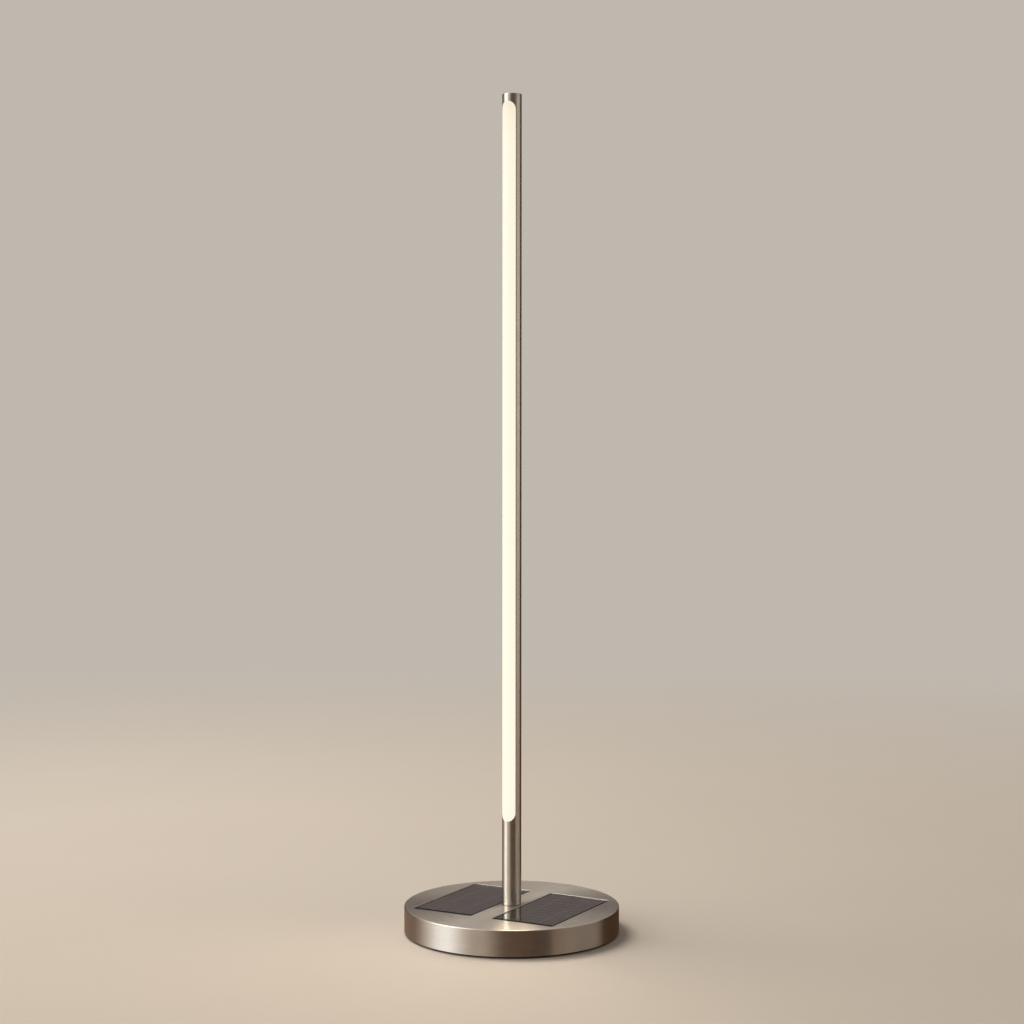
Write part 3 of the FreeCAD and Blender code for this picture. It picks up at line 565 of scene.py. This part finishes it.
def raise_surface(tree, shader, height, distance, strength, **normal):
    """A Bump node that feeds the shader's normal, over a Normal where one is given."""
    bump = add_node(tree, "ShaderNodeBump", {
        "Strength": strength, "Distance": distance, "Height": height, **normal})
    join(tree, bump.outputs["Normal"], shader.inputs["Normal"])


def dress(tree, shader, edge, edge_lightening, colour, edge_and_highlight_colour, roughness, height, relief, strength):
    """Colour, roughness and relief; edges are painted lighter as wear and as a painted highlight.
    """
    # Where the edge mask is, the colour is painted lighter: rubbed wear and a painted highlight.
    feed(tree, shader, {
        "Base Color": blend_colours(tree, times(tree, edge["Edge"], edge_lightening), colour, edge_and_highlight_colour),
        "Roughness": roughness})
    raise_surface(tree, shader, height, relief, strength, Normal=edge["Rounded Normal"])


def brushed_steel(name, light, dark, smooth, rough, lines, breaks, relief, anisotropy, joint=None):
    """Brushed steel, with a painted shadow line just above a joint's height where one is given."""
    tree, shader = start_material(
        name, Metallic=1.0, Anisotropic=anisotropy, Anisotropic_Rotation=0.25)
    tangent = add_node(tree, "ShaderNodeTangent", direction_type="RADIAL", axis="Z")
    join(tree, tangent.outputs["Tangent"], shader.inputs["Tangent"])
    grain = use_group(tree, GRAIN, Lines=lines, Breaks=breaks)
    edge = use_group(tree, EDGE, Radius=0.00035)
    marks = use_group(tree, MARKS, Size=1.0)
    tone = plus(tree, times(tree, grain["Grain"], 0.75), times(tree, grain["Band"], 0.25))
    colour = blend_colours(tree, times(tree, marks["Smear"], 0.06),
                           blend_colours(tree, tone, dark, light), scaled(dark, 0.86))
    # Paint a shadow line just above the joint, where the pole meets the base.
    if joint is not None:
        low, high = (joint + height for height in CONTACT_SHADE_ABOVE_JOINT)
        contact_shade = spread(tree, split(tree, object_point(tree))["Z"], low, high, 0.0, 0.7)
        colour = blend_colours(tree, contact_shade, colour, CONTACT_SHADE)
    roughness = plus(tree, spread(tree, grain["Band"], 0.0, 1.0, smooth, rough),
                     times(tree, marks["Smear"], 0.02))
    roughness = plus(tree, roughness, times(tree, marks["Dust"], 0.02))
    dress(tree, shader, edge, 0.45, colour, scaled(light, 1.12), roughness,
          grain["Height"], relief, 0.5)


# Each call: two colours, smooth and rough, lines, breaks, relief and anisotropy.
brushed_steel("brushed_base", (0.65, 0.615, 0.575), (0.545, 0.515, 0.475),
              0.265, 0.295, 2400, 7, 0.000006, 0.90)
brushed_steel("brushed_pole", (0.73, 0.695, 0.65), (0.655, 0.62, 0.575),
              0.200, 0.225, 2600, 3, 0.000003, 1.0, joint=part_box("base_cover")[1].z)

# %% [markdown]
# ## Plated, turned and cast metal
# The screws, nuts, washers, bridge and posts are zinc plated: a cold grey with a cloudy shine.
# The plug in the pole's foot is turned, the spring and contacts are drawn and pressed, and the
# ballast is a rough casting under black paint. Each could have a tree of its own, but they differ
# only in strength. So one recipe makes them all, from cloudiness, fine relief, edges painted
# lighter as rubbed wear and as a painted highlight, and a little dirt.

# %% Make the metal finishes
# Each call: two colours, smooth and rough, the size of the clouds, of the grains, and the relief.
def metal(name, light, dark, smooth, rough, clouds, grains, relief,
          edge_lightening=0.7, metallic=1.0, turned=False):
    tree, shader = start_material(name, Metallic=metallic)
    edge = use_group(tree, EDGE, Radius=0.00025)
    marks = use_group(tree, MARKS, Size=3.0)
    if turned:
        skin = use_group(tree, GRAIN, Lines=grains, Breaks=4)
    else:
        skin = use_group(tree, SKIN, Grains=grains)
    cloud = spread(tree, noise(tree, object_point(tree), clouds, 4.0, 0.6), 0.32, 0.68)
    colour = blend_colours(tree, times(tree, marks["Spots"], 0.35),
                           blend_colours(tree, cloud, dark, light), scaled(dark, 0.55))
    roughness = plus(tree, spread(tree, cloud, 0.0, 1.0, rough, smooth),
                     times(tree, marks["Smear"], 0.10))
    dress(tree, shader, edge, edge_lightening, colour, scaled(light, 1.25, most=1.0), roughness,
          skin["Height"], relief, 0.6)


metal("zinc_steel", (0.70, 0.71, 0.73), (0.50, 0.51, 0.54), 0.24, 0.42, 120, 2600, 0.00003)
metal("turned_steel", (0.62, 0.60, 0.57), (0.50, 0.48, 0.45), 0.18, 0.30, 60, 3200, 0.00003,
      turned=True)
metal("spring_steel", (0.56, 0.55, 0.54), (0.36, 0.35, 0.34), 0.22, 0.36, 220, 5200, 0.00001)
metal("carrier_aluminium", (0.80, 0.81, 0.82), (0.66, 0.67, 0.69), 0.30, 0.42, 40, 2200, 0.00002)
metal("ballast_iron", (0.060, 0.060, 0.064), (0.026, 0.026, 0.028), 0.45, 0.62, 30, 520, 0.00022,
      edge_lightening=0.5, metallic=0.0)
metal("tinned_ribbon", (0.25, 0.24, 0.235), (0.18, 0.17, 0.168), 0.45, 0.60, 300, 4200, 0.00002)

# %% [markdown]
# ## Moulded plastic, rubber, paint and boards
# None of these is a single flat colour. Moulded plastic has a fine leather-like skin and paler
# edges, which are partly rubbed and partly a painted highlight, rubber is matt and dusty, powder
# coating has orange-peel bumps, and a circuit board shows its copper tracks faintly under the
# green coat. Again one recipe serves them all, and a pattern can be slipped in between the skin
# and the dust.

# %% Make the moulded and coated finishes
DUST_COLOUR = (0.42, 0.40, 0.37)
TRACK_GREEN = (0.09, 0.34, 0.15)


# Each call: two colours, smooth and rough, the grains' size, the relief, and the edge colour,
# which is partly rubbed wear and partly a painted highlight.
def coated(name, light, dark, smooth, rough, grains, relief, edge_and_highlight_colour, dust=0.15,
           pattern=None, **plain_values):
    tree, shader = start_material(name, **plain_values)
    edge = use_group(tree, EDGE, Radius=0.0003)
    marks = use_group(tree, MARKS, Size=2.0)
    skin = use_group(tree, SKIN, Grains=grains)
    colour = blend_colours(tree, skin["Tone"], dark, light)
    height = skin["Height"]
    if pattern is not None:
        colour, height = pattern(tree, colour, height)
    dusty = blend_colours(tree, times(tree, marks["Dust"], dust), colour, DUST_COLOUR)
    roughness = plus(tree, spread(tree, skin["Tone"], 0.0, 1.0, smooth, rough),
                     times(tree, marks["Smear"], 0.12))
    dress(tree, shader, edge, 0.5, dusty, edge_and_highlight_colour, roughness, height, relief, 0.7)


def copper_tracks(tree, colour, height):
    """Straight tracks under the green coat, as the edges of square cells."""
    squares = cells(tree, object_point(tree), 260.0, 0.85,
                    distance="CHEBYCHEV", feature="DISTANCE_TO_EDGE")
    track = spread(tree, squares["Distance"], 0.10, 0.06)
    lighter = blend_colours(tree, times(tree, track, 0.55), colour, TRACK_GREEN)
    return lighter, plus(tree, times(tree, height, 0.3), track)


coated("floor_paint", (0.040, 0.040, 0.043), (0.020, 0.020, 0.022),
       0.42, 0.58, 1500, 0.00010, (0.16, 0.16, 0.165))
coated("foot_rubber", (0.030, 0.030, 0.031), (0.015, 0.015, 0.016),
       0.62, 0.82, 2400, 0.00005, (0.09, 0.09, 0.09), dust=0.5)
coated("seal_rubber", (0.045, 0.044, 0.043), (0.026, 0.026, 0.026),
       0.50, 0.66, 2600, 0.00003, (0.10, 0.10, 0.10))
coated("black_plastic", (0.030, 0.030, 0.032), (0.016, 0.016, 0.017),
       0.34, 0.50, 2600, 0.00004, (0.11, 0.11, 0.11))
coated("white_plastic", (0.82, 0.81, 0.77), (0.72, 0.70, 0.66),
       0.34, 0.46, 2600, 0.00003, (0.90, 0.89, 0.86), dust=0.05)
coated("button_plastic", (0.085, 0.085, 0.088), (0.055, 0.055, 0.058),
       0.30, 0.44, 3000, 0.00003, (0.22, 0.22, 0.22))
coated("lead_jacket", (0.055, 0.055, 0.057), (0.030, 0.030, 0.032),
       0.36, 0.50, 3200, 0.00002, (0.12, 0.12, 0.12))
coated("white_board", (0.86, 0.86, 0.84), (0.78, 0.78, 0.75),
       0.30, 0.42, 2200, 0.00002, (0.70, 0.66, 0.50))
coated("green_board", (0.020, 0.150, 0.060), (0.012, 0.105, 0.042),
       0.20, 0.34, 2200, 0.00005, (0.45, 0.42, 0.26), pattern=copper_tracks, Coat_Weight=0.4)
coated("battery_wrap", (0.055, 0.190, 0.380), (0.040, 0.150, 0.310),
       0.18, 0.28, 1200, 0.00003, (0.10, 0.26, 0.46), Coat_Weight=0.5)
coated("cell_sheet", (0.028, 0.026, 0.030), (0.018, 0.017, 0.020),
       0.30, 0.45, 2400, 0.00002, (0.06, 0.06, 0.06))
coated("sealant", (0.016, 0.015, 0.015), (0.009, 0.009, 0.009),
       0.50, 0.64, 1600, 0.00003, (0.04, 0.04, 0.04), dust=0.06, Specular_IOR_Level=0.03)

# %% [markdown]
# ## Solar panels
# Each panel is a sheet of toughened glass over a row of dark silicon cells. A black block with a
# shine would look much the same from one side. Clear glass over real cells also shows the pole's
# image and the fine printed lines. Seen this low, the glass mirrors the far side of the room, so
# the panels look a soft dark grey. The cells are nearly black with a violet cast and hardly shine.

# %% Make the glass and the cells
FINGER_PITCH = 0.0022
FINGER_COLOUR = (0.30, 0.28, 0.28)


def clear_glass():
    tree, shader = start_material(
        "panel_glass", Metallic=0.0, Transmission_Weight=1.0, IOR=1.5)
    marks = use_group(tree, MARKS, Size=1.6)
    edge = use_group(tree, EDGE, Radius=0.0003)
    tint = blend_colours(tree, marks["Smear"], (0.965, 0.985, 0.975), (0.93, 0.945, 0.93))
    dulled = plus(tree, spread(tree, marks["Smear"], 0.0, 1.0, 0.030, 0.050),
                  times(tree, marks["Dust"], 0.10))
    feed(tree, shader, {
        "Base Color": blend_colours(tree, times(tree, edge["Edge"], 0.5), tint,
                                    (0.80, 0.90, 0.86)),
        "Roughness": dulled})
    raise_surface(tree, shader, noise(tree, object_point(tree), 140.0, 2.0), 0.000006, 0.2)


def silicon_cells():
    tree, shader = start_material(
        "solar_cell", Specular_IOR_Level=0.03, Coat_Weight=0.04, Coat_Roughness=0.15)
    point = object_point(tree)
    phase = maths(tree, "FRACT", times(tree, split(tree, point)["Y"], 1 / FINGER_PITCH))
    finger = spread(tree, maths(tree, "ABSOLUTE", maths(tree, "SUBTRACT", phase, 0.5)), 0.07, 0.03)
    shade = add_node(tree, "ShaderNodeSeparateColor", {
        "Color": cells(tree, point, 130.0)["Color"]}).outputs[0]
    silicon = blend_colours(tree, shade, (0.006, 0.005, 0.0055), (0.009, 0.0075, 0.008))
    feed(tree, shader, {
        "Base Color": blend_colours(tree, times(tree, finger, 0.05), silicon, FINGER_COLOUR),
        "Metallic": times(tree, finger, 0.2),
        "Roughness": spread(tree, shade, 0.0, 1.0, 0.30, 0.34)})
    raise_surface(tree, shader, finger, 0.00001, 0.3)


clear_glass()
silicon_cells()

# %% [markdown]
# ## Light
# The light tube is opal plastic, lit from inside along its whole length. It looks evenly bright,
# a warm white, and only a little dimmer at its two ends, past the last of the light chips. Real
# scattering inside the tube would be slow and noisy. Instead the shader gives off that light
# itself, so the tube looks the same wherever it is seen from.

# %% Make the opal tube and the light chips
SLOT_LOW, SLOT_HIGH = (corner.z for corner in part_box("slot_lens"))
# Places along the slot, from its foot to its top, and the glow there.
GLOW = (
    (0.0, (0.95, 0.89, 0.73)), (0.03, (0.96, 0.91, 0.755)), (0.5, (0.96, 0.905, 0.74)),
    (0.95, (0.95, 0.885, 0.72)), (0.985, (0.93, 0.82, 0.66)), (1.0, (0.90, 0.75, 0.61)),
)
MOTTLE = (0.90, 0.82, 0.66)


def opal_plastic():
    tree, shader = start_material(
        "opal_plastic", Base_Color=(0.10, 0.095, 0.085, 1), Roughness=0.42,
        Emission_Strength=1.0, Specular_IOR_Level=0.35)
    point = object_point(tree)
    up = spread(tree, split(tree, point)["Z"], SLOT_LOW, SLOT_HIGH)
    mottle = spread(tree, noise(tree, point, 90.0), 0.3, 0.7)
    feed(tree, shader, {"Emission Color": blend_colours(
        tree, times(tree, mottle, 0.10), colour_ramp(tree, up, GLOW), MOTTLE)})
    raise_surface(tree, shader, use_group(tree, SKIN, Grains=2400)["Height"], 0.00002, 0.4)


def light_chip():
    tree, shader = start_material("light_chip", Roughness=0.35, Emission_Strength=2.0)
    skin = use_group(tree, SKIN, Grains=4000)
    feed(tree, shader, {
        "Base Color": blend_colours(tree, skin["Tone"], (0.92, 0.72, 0.22), (0.98, 0.84, 0.38)),
        "Emission Color": blend_colours(tree, skin["Tone"], (1.0, 0.86, 0.58), (1.0, 0.92, 0.70))})
    raise_surface(tree, shader, skin["Height"], 0.00002, 0.5)


opal_plastic()
light_chip()
print("lit slot from", round(SLOT_LOW, 4), "to", round(SLOT_HIGH, 4))

# %% [markdown]
# ## Light from the slot
# A surface that glows only a little brighter than white lights its surroundings too weakly, and a
# stronger glow would lose its warm colour in the picture. So the light that the tube throws comes
# from two upright strips just in front of the slot, which the camera doesn't see. The narrow one
# lights matt surfaces, and the wide one is only seen in the shine of the base.

# %% Throw the tube's light on the base and the floor
SLOT_MIDDLE = (SLOT_LOW + SLOT_HIGH) / 2
STRIP_MARGIN = 0.01
STRIP_LENGTH = SLOT_HIGH - SLOT_LOW - 2 * STRIP_MARGIN


def strip_light(name, width, power, colour, across, turn):
    facing = Euler((math.radians(-90), 0, math.radians(turn)))
    return area_light(name, (*across, SLOT_MIDDLE), facing, (width, STRIP_LENGTH), power, colour)


slot_light = strip_light("slot_light", 0.016, 1.6, (1.0, 0.80, 0.54), (0, -0.0142), 0)
slot_light.visible_glossy = False
slot_shine = strip_light("slot_shine", 0.09, 1.85, (1.0, 0.84, 0.64), (0.022, -0.020), 29)
slot_shine.visible_diffuse = False

# %% [markdown]
# ## Put the finishes on
# Every piece of the construction model needs its finish. They could be put on one by one, but the
# record already says which finish each piece has, so the pieces are painted by reading it.

# %% Paint the frame's pieces
def paint(piece, finish):
    piece.data.materials.clear()
    piece.data.materials.append(finishes[finish])


for part in frame["record"]["subparts"]:
    paint(nodes[part["node"]], part["material_slot"])

# %% [markdown]
# ## Helpers for modelling
# New pieces are made as by hand. A primitive is added at its size and place, then edges or faces
# are picked by where they are, and shaped in edit mode. Lists of points could do it too, but they
# would hide how each shape comes about.

# %% Define the helpers for modelling
# How closely a direction has to follow an axis, with 1 for exactly.
ALONG = 0.9


def clear_choice():
    if bpy.context.mode != "OBJECT":
        bpy.ops.object.mode_set(mode="OBJECT")
    bpy.ops.object.select_all(action="DESELECT")


def choose(piece):
    """Leave edit mode and select only this piece."""
    clear_choice()
    piece.select_set(True)
    bpy.context.view_layer.objects.active = piece


def settle(piece, name):
    """Name the piece and move its place and size into its mesh."""
    piece.name = name
    piece.data.name = name
    choose(piece)
    bpy.ops.object.transform_apply(location=True, rotation=True, scale=True)
    return piece


def everything(place, way):
    return True


def pick(piece, kind, test=everything):
    """Enter edit mode with only those parts picked whose middle and direction pass a test."""
    choose(piece)
    mesh = piece.data
    for parts in (mesh.vertices, mesh.edges, mesh.polygons):
        parts.foreach_set("select", [False] * len(parts))
    bpy.context.tool_settings.mesh_select_mode = tuple(
        kind == name for name in ("VERT", "EDGE", "FACE"))
    if kind == "FACE":
        for face in mesh.polygons:
            face.select = test(face.center, face.normal)
    elif kind == "EDGE":
        for edge in mesh.edges:
            first, last = (mesh.vertices[k].co for k in edge.vertices)
            edge.select = test((first + last) / 2, (last - first).normalized())
    else:
        for vertex in mesh.vertices:
            vertex.select = test(vertex.co, vertex.normal)
    bpy.ops.object.mode_set(mode="EDIT")


def done(piece, finish, stands_for=None):
    """Leave edit mode, give the piece its finish and let it ride on the lamp."""
    clear_choice()
    paint(piece, finish)
    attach(piece, "lamp")
    if stands_for:
        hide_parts(stands_for)
    print("piece", piece.name, "faces", len(piece.data.polygons))


print("helpers for modelling are ready")

# %% [markdown]
# ## Panes
# The glass of each panel has ground edges: the corners are rounded and a narrow bright chamfer
# runs round the top. The construction model's plain block would show no such glint. A block is
# the start, its upright edges are rounded, and its top edges are bevelled. The pane stays a hair
# above the cells, so light passes cleanly from one to the other. The right one is a copy.

# %% Model the two panes
CELL_GAP = 0.00008
PANE_CORNER = 0.0015
PANE_CHAMFER = 0.0005
HAIR = 1e-5


def block(name, place, size):
    clear_choice()
    bpy.ops.mesh.primitive_cube_add(size=1, location=place, scale=size)
    return settle(bpy.context.object, name)


def shade_smooth(piece, below):
    """Smooth shading where faces meet at less than this many degrees."""
    choose(piece)
    bpy.ops.object.shade_smooth_by_angle(angle=math.radians(below))


def copy_of(piece, name, shift):
    """A copy with a mesh of its own, moved by a shift."""
    choose(piece)
    bpy.ops.object.duplicate(linked=False)
    twin = bpy.context.object
    twin.location = shift
    return settle(twin, name)


def shift_between(first, second):
    """The way from one node's box to the same box of another node."""
    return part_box(second)[0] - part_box(first)[0]


def pane(name, node):
    low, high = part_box(node)
    low = low + Vector((0, 0, CELL_GAP))
    piece = block(name, (low + high) / 2, high - low)
    pick(piece, "EDGE", lambda place, way: abs(way.z) > ALONG)
    bpy.ops.mesh.bevel(offset=PANE_CORNER, segments=8, affect="EDGES")
    pick(piece, "EDGE", lambda place, way: place.z > high.z - HAIR)
    bpy.ops.mesh.bevel(offset=PANE_CHAMFER, segments=2, affect="EDGES")
    shade_smooth(piece, 14)
    return piece


pane_left = pane("pane_left", "panel_glass_left")
pane_right = copy_of(pane_left, "pane_right",
                     shift_between("panel_glass_left", "panel_glass_right"))
done(pane_left, "panel_glass", stands_for="panel_glass_left")
done(pane_right, "panel_glass", stands_for="panel_glass_right")

# %% [markdown]
# ## Ribbons on the cells
# Two flat tinned ribbons run the length of each panel and join its cells in a row. They could be
# stripes in the cells' finish, but then they would have no thickness to catch the light. One thin
# bar gets soft upper edges and is cut across on both sides of every gap between two cells. The
# second bar is a copy of it, and the right pair is a copy of the left one.

# %% Model the ribbons
RIBBON_WIDTH = 0.0012
RIBBON_THICKNESS = 0.00005
RIBBON_SHARE = 0.24
CELL_COUNT = 12
HALF_CELL_GAP = 0.0006


def unite(pieces, name):
    clear_choice()
    for piece in pieces:
        piece.select_set(True)
    bpy.context.view_layer.objects.active = pieces[0]
    bpy.ops.object.join()
    pieces[0].name = name
    pieces[0].data.name = name
    return pieces[0]


def ribbons(name, node):
    low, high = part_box(node)
    pitch = (high.y - low.y) / CELL_COUNT
    aside = RIBBON_SHARE * (high.x - low.x)
    middle = (low + high) / 2
    bar = block(name, (middle.x - aside, middle.y, high.z + RIBBON_THICKNESS / 2),
                (RIBBON_WIDTH, high.y - low.y, RIBBON_THICKNESS))
    for step in range(1, CELL_COUNT):
        for end in (-1, 1):
            pick(bar, "FACE")
            bpy.ops.mesh.bisect(plane_no=(0, 1, 0),
                                plane_co=(0, low.y + step * pitch + end * HALF_CELL_GAP, 0))
    pick(bar, "EDGE", lambda place, way:
         abs(way.y) > ALONG and place.z > high.z + RIBBON_THICKNESS / 2)
    bpy.ops.mesh.bevel(offset=RIBBON_THICKNESS * 0.6, segments=1, affect="EDGES")
    return unite([bar, copy_of(bar, name, (2 * aside, 0, 0))], name)


ribbons_left = ribbons("ribbons_left", "solar_cells_left")
ribbons_right = copy_of(ribbons_left, "ribbons_right",
                        shift_between("solar_cells_left", "solar_cells_right"))
for pair in (ribbons_left, ribbons_right):
    done(pair, "tinned_ribbon")

# %% [markdown]
# ## Sealing beads
# Black sealant closes the gap between each pane and the cover. On the lamp it is the thin black
# line round each panel. A round bar could be swept about it, but sealant is smeared flat. So a
# plane with rounded corners is inset and its middle is taken out, which leaves a flat frame. At
# its front end the frame laps further over the glass, where the line is widest. Its outer rim is
# lowered, as wet sealant sinks between glass and steel, so the steel's bevel stays in sight behind
# it. It is drawn down to the tray's lip, and its edges are rounded. The right one is a copy.

# %% Model the sealing beads
BEAD_WIDTH = 0.00148
BEAD_RISE = 0.0001
BEAD_LAP = 0.0005
BEAD_FRONT_LAP = 0.0050
BEAD_SLOPE = 0.0005
BEAD_CORNER = 0.003
BEAD_ROUNDING = 0.00022


def apply_modifier(piece, kind, **settings):
    choose(piece)
    modifier = piece.modifiers.new(kind, kind)
    for name, value in settings.items():
        setattr(modifier, name, value)
    bpy.ops.object.modifier_apply(modifier=modifier.name)


def round_edges(piece, width, segments, sharper_than=50):
    apply_modifier(piece, "BEVEL", width=width, segments=segments, limit_method="ANGLE",
                   angle_limit=math.radians(sharper_than))


def outward_faces():
    bpy.ops.mesh.select_all(action="SELECT")
    bpy.ops.mesh.normals_make_consistent(inside=False)


def bead(name, tray, glass):
    low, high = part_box(glass)
    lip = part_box(tray)[1].z
    top = high.z + BEAD_RISE
    middle = (low + high) / 2
    clear_choice()
    bpy.ops.mesh.primitive_plane_add(size=1, location=(middle.x, middle.y, top))
    piece = bpy.context.object
    piece.scale = (high.x - low.x + 2 * BEAD_WIDTH, high.y - low.y + 2 * BEAD_WIDTH, 1)
    settle(piece, name)
    pick(piece, "VERT")
    bpy.ops.mesh.bevel(offset=BEAD_CORNER, segments=6, affect="VERTICES")
    bpy.ops.mesh.select_mode(type="FACE")
    bpy.ops.mesh.select_all(action="SELECT")
    bpy.ops.mesh.inset(thickness=BEAD_WIDTH, use_even_offset=True)
    bpy.ops.mesh.inset(thickness=BEAD_LAP, use_even_offset=True)
    bpy.ops.object.mode_set(mode="OBJECT")
    front = {tuple(vertex.co) for vertex in piece.data.vertices
             if vertex.select and vertex.co.y < low.y + 2 * BEAD_CORNER}
    pick(piece, "VERT", lambda place, normal: tuple(place) in front)
    bpy.ops.transform.translate(value=(0, BEAD_FRONT_LAP - BEAD_LAP, 0))
    pick(piece, "FACE", lambda place, normal: (place - middle).xy.length < 2 * BEAD_FRONT_LAP)
    bpy.ops.mesh.delete(type="FACE")
    pick(piece, "VERT", lambda place, normal:
         abs(place.x - middle.x) > middle.x - low.x + BEAD_WIDTH / 4
         or abs(place.y - middle.y) > middle.y - low.y + BEAD_WIDTH / 4)
    bpy.ops.transform.translate(value=(0, 0, -BEAD_SLOPE))
    pick(piece, "FACE")
    bpy.ops.mesh.extrude_region_move(TRANSFORM_OT_translate={"value": (0, 0, lip - top)})
    bpy.ops.transform.resize(value=(1, 1, 0), center_override=(0, 0, lip))
    outward_faces()
    round_edges(piece, BEAD_ROUNDING, 3)
    shade_smooth(piece, 40)
    return piece


bead_left = bead("bead_left", "panel_tray_left", "panel_glass_left")
bead_right = copy_of(bead_left, "bead_right",
                     shift_between("panel_glass_left", "panel_glass_right"))
for piece in (bead_left, bead_right):
    done(piece, "sealant")

# %% [markdown]
# ## Foot ring with treads
# The rubber ring under the base has three grooves in its sole, so that it grips and lets water out.
# A profile could be turned round the axis. Starting from a cylinder shows each groove as a step:
# the lower face is inset ring by ring, every second ring is pushed up into a groove, and the two
# middles are bridged, which opens the ring's hole.

# %% Model the foot ring
RING_STEPS = 192
RING_WIDTH = 0.009
RING_ROUNDING = 0.00025
TREAD_COUNT = 3
GROOVE_DEPTH = 0.0009


def foot_ring():
    low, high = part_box("foot_ring")
    outer = high.x
    strip = RING_WIDTH / (2 * TREAD_COUNT + 1)
    clear_choice()
    bpy.ops.mesh.primitive_cylinder_add(
        vertices=RING_STEPS, radius=outer, depth=high.z - low.z, end_fill_type="NGON",
        location=(0, 0, (low.z + high.z) / 2))
    piece = settle(bpy.context.object, "foot_ring_treads")
    pick(piece, "FACE", lambda place, normal: normal.z > ALONG)
    bpy.ops.mesh.inset(thickness=RING_WIDTH, use_even_offset=True)
    pick(piece, "FACE", lambda place, normal: normal.z < -ALONG)
    for step in range(2 * TREAD_COUNT + 1):
        bpy.ops.mesh.inset(thickness=strip, use_even_offset=True)
    for groove in range(TREAD_COUNT):
        near = outer - (2 * groove + 2) * strip
        far = outer - (2 * groove + 1) * strip
        pick(piece, "FACE", lambda place, normal:
             normal.z < -ALONG and near < place.xy.length < far)
        bpy.ops.mesh.extrude_region_move(TRANSFORM_OT_translate={"value": (0, 0, GROOVE_DEPTH)})
    pick(piece, "FACE", lambda place, normal: abs(normal.z) > ALONG
         and place.xy.length < strip)
    bpy.ops.mesh.bridge_edge_loops()
    round_edges(piece, RING_ROUNDING, 2)
    shade_smooth(piece, 35)
    done(piece, "foot_rubber", stands_for="foot_ring")


foot_ring()

# %% [markdown]
# ## Grip on the battery door
# Five low bars on the door give the fingers a hold under the base. Ridges could be drawn into the
# paint's relief, but fingers need real ones. The first bar is a block with round ends and rounded
# edges, and the other four are copies of it.

# %% Model the grip bars
GRIP_COUNT = 5
GRIP_PITCH = 0.0042
GRIP_LENGTH = 0.026
GRIP_WIDTH = 0.0016
GRIP_HEIGHT = 0.0006
GRIP_ROOT = 0.0002


def grip_bars():
    low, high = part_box("battery_door")
    middle = (low + high) / 2
    first = middle.y - (GRIP_COUNT - 1) / 2 * GRIP_PITCH
    bar = block("grip_bars", (middle.x, first, low.z - GRIP_HEIGHT / 2 + GRIP_ROOT / 2),
                (GRIP_LENGTH, GRIP_WIDTH, GRIP_HEIGHT + GRIP_ROOT))
    pick(bar, "EDGE", lambda place, way: abs(way.z) > ALONG)
    bpy.ops.mesh.bevel(offset=GRIP_WIDTH * 0.48, segments=6, affect="EDGES")
    round_edges(bar, GRIP_HEIGHT * 0.4, 3)
    copies = [copy_of(bar, "grip_bars", (0, step * GRIP_PITCH, 0))
              for step in range(1, GRIP_COUNT)]
    grip = unite([bar, *copies], "grip_bars")
    shade_smooth(grip, 35)
    done(grip, "floor_paint")


grip_bars()

# %% [markdown]
# ## Return spring
# A push on the button squeezes the spring behind it: its lower end moves with the button's collar
# and its upper end stays under the terminal block. The construction model's spring can ride on one
# of them only. So the spring is modelled as a piece of its own. A ring of wire is swept round the
# axis and up, and its two ends are closed.

# %% Model the return spring
SPRING_TURNS = 5
SPRING_WIRE = 0.0006
WIRE_SIDES = 12
STEPS_PER_TURN = 32


def return_spring():
    low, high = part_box("return_spring")
    middle = (low + high) / 2
    mean_radius = (high.x - low.x - SPRING_WIRE) / 2
    rise = high.z - low.z - SPRING_WIRE
    clear_choice()
    bpy.ops.mesh.primitive_circle_add(
        vertices=WIRE_SIDES, radius=SPRING_WIRE / 2, location=(mean_radius, 0, 0),
        rotation=(math.pi / 2, 0, 0))
    piece = settle(bpy.context.object, "spring_coil")
    apply_modifier(piece, "SCREW", angle=2 * math.pi, screw_offset=rise / SPRING_TURNS,
                   iterations=SPRING_TURNS, steps=STEPS_PER_TURN, render_steps=STEPS_PER_TURN,
                   use_smooth_shade=True)
    pick(piece, "VERT")
    bpy.ops.mesh.fill_holes(sides=WIRE_SIDES)
    outward_faces()
    clear_choice()
    piece.location = (middle.x, middle.y, low.z + SPRING_WIRE / 2)
    settle(piece, "spring_coil")
    clear_choice()
    paint(piece, "spring_steel")
    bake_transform(piece)
    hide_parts("return_spring")
    print("piece", piece.name, "faces", len(piece.data.polygons))


return_spring()

# %% [markdown]
# ## Size at the end
# The dressed lamp's box is printed. The dressed lamp must be no bigger than the construction
# model.

# %% Print the dressed lamp's box
low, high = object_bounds()
print("visual box", [round(value, 4) for value in (*low, *high)])
